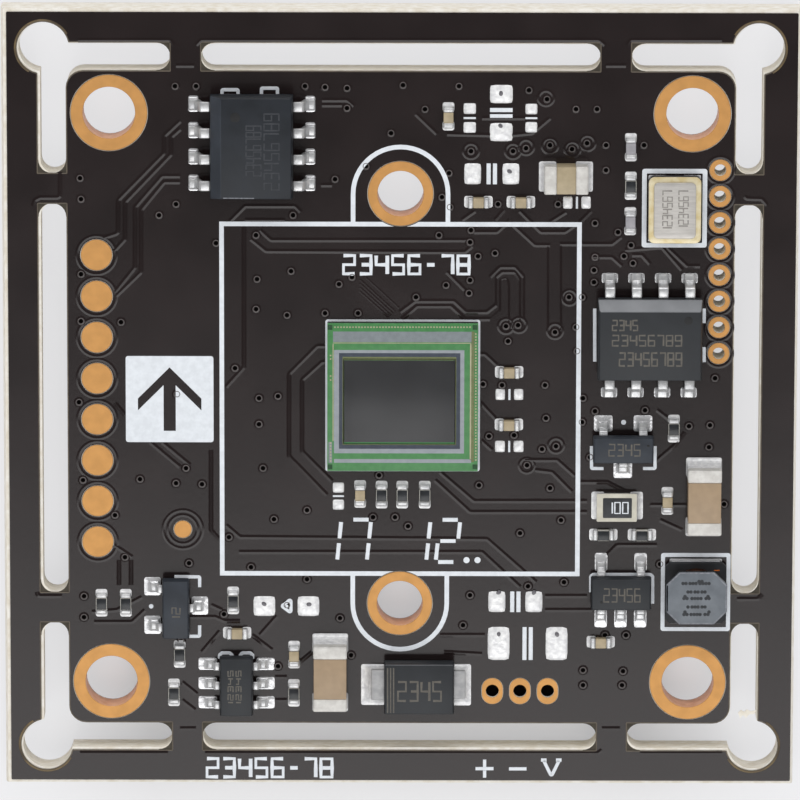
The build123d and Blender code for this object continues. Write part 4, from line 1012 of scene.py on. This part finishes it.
class CAMERABOARD_OT_print(bpy.types.Operator):
    """Makes the white printed marks"""

    bl_idname = "camera_board.printing"
    bl_label = "White print"

    def execute(self, context):
        high = FACE + context.scene.board_sizes.print_height / MM
        behind = lambda loop: [(-x, -y) for x, y in loop]
        wide, narrow, wide_bow, narrow_bow, rise = 8.64, 8.42, 2.37, 2.15, LENS_PLACES[0][1]
        # The line stops where it meets the gold rings of the two lens-holder holes
        reach = LENS_RING[1] + 0.05
        ends = [math.degrees(math.asin((half - rise) / reach)) for half in (wide, narrow)]
        stop = arc(0, rise, reach, *ends, 4)
        outer = [(wide, -wide), (wide, wide), (wide_bow, wide)]
        outer += arc(0, rise, wide_bow, 0, 180, 24) + [(-wide_bow, wide)]
        inner = [(narrow_bow, wide)] + arc(0, rise, narrow_bow, 0, 180, 24) + [(-narrow_bow, wide)]
        inner += [(-x, y) for x, y in stop] + [(-narrow, narrow), (-narrow, -narrow)] + behind(reversed(stop))
        shape = [outer + behind(outer), inner + behind(inner)]
        plates("holder_outline", [shape], FACE, high, "print", ["holder_outline_print"])
        half_arrow = [(-1.52, 0.03), (-1.52, -0.55), (-0.29, 0.68), (-0.29, -1.55)]
        arrow = [(0, 1.55)] + half_arrow + [(-x, y) for x, y in reversed(half_arrow)]
        x, y, side = -11.03, 0.0, 4.2
        shape = [box_loop(x, y, side, side, 0.12), [(x + i, y + j) for i, j in arrow]]
        plates("arrow_field", [shape], FACE, high, "print", ["arrow_print"])
        shapes = [
            [box_loop(x, y, w, d, 0.12), box_loop(x, y, w - 2 * line, d - 2 * line, 0.04)]
            for x, y, w, d, line in PART_FRAMES
        ]
        plates("part_frames", shapes, FACE, high, "print", ["part_frames_print"])
        tracked("signs_round_parts", rows_of(PRINT_STROKES), 0.17, high - FACE, "print", "print", bend=0.05)
        for i, (text, box, width, lean, cut) in enumerate(PRINT_FIGURES, 1):
            paths = figures(text, box, 0.0, 0, lean, cut)
            tracked("printed_figures_" + str(i), paths, width, high - FACE, "print", "print", bend=0.0)
        work = bmesh.new()
        for px, py, radius in PRINT_DOTS:
            add_lathe(work, [(0, FACE), (radius, FACE), (radius, high), (0, high)], 16, *from_photo(px, py))
        place_bmesh("printed_dots", work, "print", ())
        softened("place_bars", "place_bars_print", "print", 0.02)
        return {"FINISHED"}


class CAMERABOARD_OT_solder(bpy.types.Operator):
    """Makes the solder on the bare pads and round the feet of the parts"""

    bl_idname = "camera_board.solder"
    bl_label = "Solder"

    def execute(self, context):
        height = context.scene.board_sizes.solder_height / MM
        rng = random.Random(4)
        places = []
        for x0, y0, x1, y1, level in map(flat_box, islands("open_solder_pads")):
            size = (x1 - x0, y1 - y0, height * rng.uniform(0.85, 1.2))
            places.append(((x0 + x1) / 2, (y0 + y1) / 2, level, 0, size))
        repeated("bare_pads", pillow(), places, "solder", ["open_solder_pads"])
        places = []
        for i, spot in enumerate(spots_of(PAD_SHADE_SPOTS)):
            places.append((*from_photo(*spot, 0.1), FACE + height * 0.95, 30 * i, (1, 1.3, 1)))
        # Painted shade: a low dark spot on each open pad
        shade_dot = lathed([(0, 0), (0.1, 0), (0.07, 0.012), (0, 0.016)], 10)
        repeated("flux_spots", shade_dot, places, "flux", ())

        lead_rise, wide_lead_rise, share = 0.05, 0.09, 0.62
        metal = []
        for name in LEADED:
            rise = wide_lead_rise if name in WIDE_CHIPS else lead_rise
            metal += [(flat_box(part), rise) for part in islands(name + "_leads")]
        for node in ("large_capacitor_ends", "medium_capacitor_ends", "sense_resistor_ends"):
            metal += [(flat_box(part), share * (flat_box(part, True)[4] - SEAT)) for part in islands(node)]
        work, ends = bmesh.new(), bmesh.new()
        for land in map(flat_box, islands("solder_lands")):
            over = [(box, rise) for box, rise in metal if under(land, box)]
            if over:
                box, rise = over[0]
                target = ends if rise > 0.1 else work
                if rise == wide_lead_rise:
                    k = 0 if box[3] - box[1] < box[2] - box[0] else 1
                    land = list(land)
                    land[1 - k], land[3 - k] = box[1 - k] - 0.02, box[3 - k] + 0.02
                add_fillet(target, land[:4], widened(box, -0.01), FACE, rise + 0.05)
            elif land[3] - land[1] < LONG_LAND:
                add_block(work, land, FACE, SEAT, 0.05, 0.02)
        for node in ("small_capacitor_ends", "small_resistor_ends", "ferrite_bead_ends"):
            for part in islands(node):
                low, high = flat_box(part), flat_box(part, True)
                add_fillet(ends, widened(low, 0.02), widened(high, -0.03), FACE, share * (high[4] - FACE))
        place_bmesh("solder_fillets", work, "joint", ["solder_lands"], 50)
        place_bmesh("bright_fillets", ends, "solder", (), 50)

        level = top_of("diode_leads")
        work, feet = bmesh.new(), bmesh.new()
        for land, foot in DIODE_FEET:
            foot = px_box(*foot, level - FACE)
            add_fillet(work, px_box(*land), foot, FACE, 0.6 * (level - FACE))
            add_block(feet, foot, FACE + 0.05, level + 0.005, 0.06, 0.05)
        place_bmesh("diode_solder", work, "solder", (), 50)
        place_bmesh("diode_feet", feet, "dull_tin", ["diode_leads"], 50)
        return {"FINISHED"}


class CAMERABOARD_OT_sensor(bpy.types.Operator):
    """Makes the image sensor with its layers under glass"""

    bl_idname = "camera_board.sensor"
    bl_label = "Image sensor"

    def execute(self, context):
        softened("sensor_carrier", "sensor_base", "dark_ceramic", 0.03)
        softened("sensor_silicon", "sensor_die", "die_green", 0.01)
        softened("sensor_array", "sensor_pixels", "array", 0.005)
        softened("joints_under_sensor", "sensor_joints", "solder", 0.03)
        for material, rise, groups in SENSOR_LAYERS:
            shapes = [[photo_loop(box, DIE_TOP - FACE) for box in group] for group in groups]
            plates("sensor_" + material, shapes, DIE_TOP, DIE_TOP + rise, material, ())
        dot = bmesh.new()
        add_stack(dot, [(level, [box_loop(0, 0, 0.07, 0.07)]) for level in (0, 0.004)])
        repeated("sensor_bond_pads", dot, seats(BOND_PAD_SPOTS, DIE_TOP), "die_beige", ())
        low, high = [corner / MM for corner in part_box("sensor_glass")]
        loop = box_loop((low.x + high.x) / 2, (low.y + high.y) / 2, high.x - low.x, high.y - low.y, 0.05)
        plates("cover_glass", [[loop]], low.z + 0.012, high.z, "glass", ["sensor_glass"])
        return {"FINISHED"}


class CAMERABOARD_OT_packages(bpy.types.Operator):
    """Makes the moulded chips and their formed leads"""

    bl_idname = "camera_board.packages"
    bl_label = "Moulded chips"

    def execute(self, context):
        edge = context.scene.board_sizes.package_edge / MM
        for name, (kind, bevel, side) in PACKAGES.items():
            made = softened(name + "_package", name + "_body", kind, edge)
            # Painted light: the bevel's faces that turn to the given side and up get the lighter finish
            if bevel:
                way = Vector((*side, 0))
                retouch(made, bevel, lambda face: face.normal.dot(way) > 0.2 and face.normal.z > 0.25)
        for name in LEADED:
            softened(name + "_formed_leads", name + "_leads", "tin", 0.05)
        for i, (node, text, box, turn, width) in enumerate(CHIP_FIGURES, 1):
            level = top_of(node)
            paths = figures(text, box, level - FACE, turn)
            kind = CHIP_MARKS.get(node, "laser_mark")
            tracked("marked_figures_" + str(i), paths, width, MARK_HEIGHT, kind, "moulded_epoxy", 0.0, level)
        work = bmesh.new()
        for node, px, py, radius in CHIP_DOTS:
            profile = [(0, 0), (radius, 0), (radius, 0.002), (radius * 0.85, 0.004), (0, 0.001)]
            profile = [(reach, top_of(node) + rise) for reach, rise in profile]
            add_lathe(work, profile, 20, *from_photo(px, py, top_of(node) - FACE))
        place_bmesh("first_lead_dots", work, "dimple", ())
        # Painted highlight: a pale line along the near edge of the driver's top
        level = top_of("driver_body")
        highlight_line = [from_photo(*spot, level - FACE) for spot in ((223, 198.2), (254, 198.4))]
        tracked("driver_flash", [highlight_line], 0.05, MARK_HEIGHT, "pale_ferrite", "moulded_epoxy", 0.0, level)
        level = top_of("diode_body")
        lines = [[from_photo(x, y, level - FACE) for y in (668, 713)] for x in (387.6, 390.6, 393.6)]
        tracked("diode_band", lines, 0.07, MARK_HEIGHT, "laser_mark", "moulded_epoxy", 0.0, level)
        places = seats([(x, y) for y, row in DOT_ROWS.items() for x in row], top_of("inductor_core"))
        dot = lathed([(0, 0), (0.085, 0), (0.08, 0.004), (0, 0.005)], 12)
        repeated("inductor_dots", dot, places, "dark_ink", ())
        return {"FINISHED"}


class CAMERABOARD_OT_passives(bpy.types.Operator):
    """Makes the capacitors, resistors and beads with their metal ends"""

    bl_idname = "camera_board.passives"
    bl_label = "Two-ended parts"

    def execute(self, context):
        cap = context.scene.board_sizes.cap_edge / MM
        softened("large_ceramics", "large_capacitor_bodies", "ceramic", 0.03)
        softened("medium_ceramics", "medium_capacitor_bodies", "pale_ceramic", 0.03)
        softened("small_ceramics", "small_capacitor_bodies", "pale_ceramic", 0.03)
        softened("beads", "ferrite_bead_bodies", "bead", 0.03)
        for node, kind in (
            ("large_capacitor", "fired_tin"), ("medium_capacitor", "fired_tin"), ("small_capacitor", "tin"),
            ("ferrite_bead", "tin"), ("sense_resistor", "tin"), ("small_resistor", "tin"),
        ):
            work = bmesh.new()
            for part in islands(node + "_ends"):
                low, high = flat_box(part), flat_box(part, True)
                add_block(work, high, low[4], high[4], min(0.08, cap), min(cap, (high[4] - low[4]) / 4))
            place_bmesh(node + "_metal", work, kind, [node + "_ends"], 50)
        for size in ("sense", "small"):
            softened(size + "_resistor_chips", size + "_resistor_bases", "alumina", 0.02)
        softened("small_resistor_films", "small_resistor_glazes", "glaze", 0.02)
        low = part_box("sense_resistor_glazes")[0].z / MM
        film = 0.035
        for name, box, up, kind, kept in (
            ("sense_resistor_frame", (596.75, 493.75, 636.75, 521.75), 0.02, "cream_glaze", []),
            ("sense_resistor_film", (603, 498, 631.75, 518), film, "glaze", ["sense_resistor_glazes"]),
        ):
            work = bmesh.new()
            add_block(work, px_box(*box, low - FACE), low - 0.01, low + up, 0.05, 0.01)
            place_bmesh(name, work, kind, kept)
        paths = figures("100", (607, 502.5, 628, 513.5), low + film - FACE)
        tracked("resistor_figures", paths, 0.07, MARK_HEIGHT, "print", "resistor_glaze", 0.0, low + film)
        return {"FINISHED"}


class CAMERABOARD_OT_crystal(bpy.types.Operator):
    """Makes the crystal and the inductor"""

    bl_idname = "camera_board.crystal"
    bl_label = "Crystal and inductor"

    def execute(self, context):
        softened("crystal_carrier", "crystal_base", "dark_ceramic", 0.04)
        low, high = [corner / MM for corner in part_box("crystal_rim")]
        rim = (low.x, low.y, high.x, high.y)
        work = bmesh.new()
        add_block(work, rim, low.z, high.z, 0.28, 0.03)
        place_bmesh("crystal_seal", work, "rim", ["crystal_rim"])
        work = bmesh.new()
        add_block(work, widened(rim, -0.25), low.z, top_of("crystal_lid") - 0.002, 0.22, 0.03)
        place_bmesh("crystal_cover", work, "lid", ["crystal_lid"])

        made = softened("inductor_drum", "inductor_core", "ferrite", 0.04)
        level = top_of("inductor_core")
        # Painted shade: faces below the top plate get the dark finish
        retouch(made, "shaded_ferrite", lambda face: face.center.z / MM < level - 0.1)
        # Painted highlight: a pale line just inside the edge of the inductor's top
        top = {c[:2] for part in islands("inductor_core") for c in part if abs(c[2] - level) < 1e-3}
        x, y = [sum(c[k] for c in top) / len(top) for k in (0, 1)]
        ring = sorted(top, key=lambda c: math.atan2(c[1] - y, c[0] - x))
        ring = [(x + (i - x) * 0.965, y + (j - y) * 0.965) for i, j in ring]
        lip = ring[-1:] + ring + ring[:1]
        tracked("inductor_lip", [lip], 0.07, MARK_HEIGHT, "pale_ferrite", "ferrite", 0.02, level)
        glint = [from_photo(x, 570.3, level - FACE - 0.2) for x in (714, 719.5)]
        tracked("wire_glint", [glint], 0.06, 0.04, "copper", "copper_wire", 0.0, level - 0.2)
        softened("inductor_coil", "inductor_winding", "copper", 0.04)
        softened("inductor_metal_ends", "inductor_terminals", "tin", 0.02)
        return {"FINISHED"}


class CAMERABOARD_OT_rear(bpy.types.Operator):
    """Makes the parts on the rear"""

    bl_idname = "camera_board.rear"
    bl_label = "Rear parts"

    def execute(self, context):
        edge = context.scene.board_sizes.package_edge / MM
        softened("processor_package", "processor_body", "package", edge)
        softened("processor_solder", "processor_lands", "solder", 0.015)
        softened("socket_shell", "socket_body", "socket", edge)
        softened("socket_springs", "socket_contacts", "tin", 0.015)
        softened("rear_ceramics", "rear_capacitor_bodies", "pale_ceramic", 0.03)
        softened("rear_ceramic_caps", "rear_capacitor_ends", "tin", 0.07, 3)
        return {"FINISHED"}


class CAMERABOARD_OT_stage(bpy.types.Operator):
    """Makes the floor, the lights, the sky and the camera"""

    bl_idname = "camera_board.stage"
    bl_label = "Stage"

    def execute(self, context):
        scene = context.scene
        floor = bpy.data.materials.new("White card")
        floor.use_nodes = True
        tree = floor.node_tree
        tree.nodes.clear()
        white = (*linear("#f0f0f2"), 1)
        card = add_node(tree, "ShaderNodeBsdfDiffuse", {"Color": white}).outputs["BSDF"]
        glow = add_node(tree, "ShaderNodeEmission", {"Color": white, "Strength": 1.0}).outputs["Emission"]
        place = add_node(tree, "ShaderNodeTexCoord").outputs["Object"]
        along = add_node(tree, "ShaderNodeSeparateXYZ", {"Vector": place}).outputs
        across = add_node(tree, "ShaderNodeMath", {0: along["X"]}, operation="ABSOLUTE").outputs["Value"]
        # The card glows more towards the far side and outside the board, as in the photograph
        # Painted light and shade: the card emits light for rays from the camera and in reflections, less of it
        # under the board and least under its near part, which paints shade there
        shares = []
        for value, start, end in ((along["Y"], -0.017, 0.012), (across, 0.012, 0.018)):
            span = {"Value": value, "From Min": start, "From Max": end, "To Min": 0.42, "To Max": 0.8}
            shares.append(add_node(tree, "ShaderNodeMapRange", span).outputs["Result"])
        path = add_node(tree, "ShaderNodeLightPath").outputs
        most = {"operation": "MAXIMUM"}
        larger = lambda a, b: add_node(tree, "ShaderNodeMath", {0: a, 1: b}, **most).outputs["Value"]
        mixed = lambda a, b, c: add_node(tree, "ShaderNodeMixShader", {0: a, 1: b, 2: c}).outputs["Shader"]
        seen = larger(larger(path["Is Camera Ray"], path["Is Glossy Ray"]), path["Is Transmission Ray"])
        surface = mixed(seen, card, mixed(larger(*shares), card, glow))
        add_node(tree, "ShaderNodeOutputMaterial", {"Surface": surface})
        mesh = bpy.data.meshes.new("floor")
        mesh.from_pydata([(-2, -2, 0), (2, -2, 0), (2, 2, 0), (-2, 2, 0)], [], [(0, 1, 2, 3)])
        mesh.materials.append(floor)
        ground = bpy.data.objects.new("floor", mesh)
        scene.collection.objects.link(ground)

        world = bpy.data.worlds.new("Soft studio")
        world.use_nodes = True
        tree = world.node_tree
        tree.nodes.clear()
        mirror = add_node(tree, "ShaderNodeLightPath").outputs["Is Glossy Ray"]
        level = add_node(tree, "ShaderNodeMapRange", {"Value": mirror, "To Min": 0.66, "To Max": 0.12})
        back = {"Color": (1, 1, 1, 1), "Strength": level.outputs["Result"]}
        back = add_node(tree, "ShaderNodeBackground", back).outputs["Background"]
        add_node(tree, "ShaderNodeOutputWorld", {"Surface": back})
        scene.world = world

        centre = Vector((0, 0, FACE * MM))
        for name, spot, sides, power in (
            ("Soft box below the lens", (0.0, -0.36, 0.6), (0.6, 0.46), 1.6),
            ("Panel above", (0.0, 0.85, 0.42), (0.9, 0.35), 2.4),
        ):
            lamp = bpy.data.lights.new(name, "AREA")
            lamp.energy = power
            lamp.shape = "RECTANGLE"
            lamp.size, lamp.size_y = sides
            holder = bpy.data.objects.new(name, lamp)
            holder.location = spot
            holder.rotation_euler = (centre - holder.location).to_track_quat("-Z", "Y").to_euler()
            scene.collection.objects.link(holder)

        lens = bpy.data.cameras.new("Photograph")
        lens.sensor_width = 36
        lens.lens = 36 * FOCAL_PIXELS / PHOTO_SIDE
        lens.shift_x = (PHOTO_SIDE / 2 - PHOTO_CENTRE[0]) / PHOTO_SIDE
        lens.shift_y = (PHOTO_CENTRE[1] - PHOTO_SIDE / 2) / PHOTO_SIDE
        lens.clip_start = 0.01
        view = bpy.data.objects.new("Photograph", lens)
        view.location = Vector((0, math.sin(TILT), math.cos(TILT))) * DISTANCE * MM + centre
        view.rotation_mode = "QUATERNION"
        turn = Matrix.Rotation(-TILT, 3, "X") @ Matrix.Rotation(ROLL, 3, "Z")
        view.rotation_quaternion = turn.to_quaternion()
        scene.collection.objects.link(view)
        scene.camera = view
        scene.view_settings.view_transform = "Standard"
        return {"FINISHED"}


OPERATORS = [
    CAMERABOARD_OT_finishes,
    CAMERABOARD_OT_board,
    CAMERABOARD_OT_tracks,
    CAMERABOARD_OT_gold,
    CAMERABOARD_OT_print,
    CAMERABOARD_OT_solder,
    CAMERABOARD_OT_sensor,
    CAMERABOARD_OT_packages,
    CAMERABOARD_OT_passives,
    CAMERABOARD_OT_crystal,
    CAMERABOARD_OT_rear,
    CAMERABOARD_OT_stage,
]


class CAMERABOARD_PT_panel(bpy.types.Panel):
    """Lists the board's pieces, sizes and colours"""

    bl_label = "Camera board"
    bl_idname = "CAMERABOARD_PT_panel"
    bl_space_type = "VIEW_3D"
    bl_region_type = "UI"
    bl_category = "Camera board"

    def draw(self, context):
        for group in (context.scene.board_sizes, context.scene.board_colours):
            for name in group.__annotations__:
                self.layout.prop(group, name)
        for operator in OPERATORS:
            self.layout.operator(operator.bl_idname)


def register():
    """Registers the property groups, the operators and the panel."""
    for item in (BoardSizes, BoardColours, *OPERATORS, CAMERABOARD_PT_panel):
        bpy.utils.register_class(item)
    bpy.types.Scene.board_sizes = bpy.props.PointerProperty(type=BoardSizes)
    bpy.types.Scene.board_colours = bpy.props.PointerProperty(type=BoardColours)


def unregister():
    """Takes all of it back."""
    del bpy.types.Scene.board_sizes, bpy.types.Scene.board_colours
    for item in (CAMERABOARD_PT_panel, *reversed(OPERATORS), BoardColours, BoardSizes):
        bpy.utils.unregister_class(item)


def main():
    """Builds every piece in order."""
    register()
    for operator in OPERATORS:
        group, name = operator.bl_idname.split(".")
        getattr(getattr(bpy.ops, group), name)()


if __name__ == "__main__":
    main()
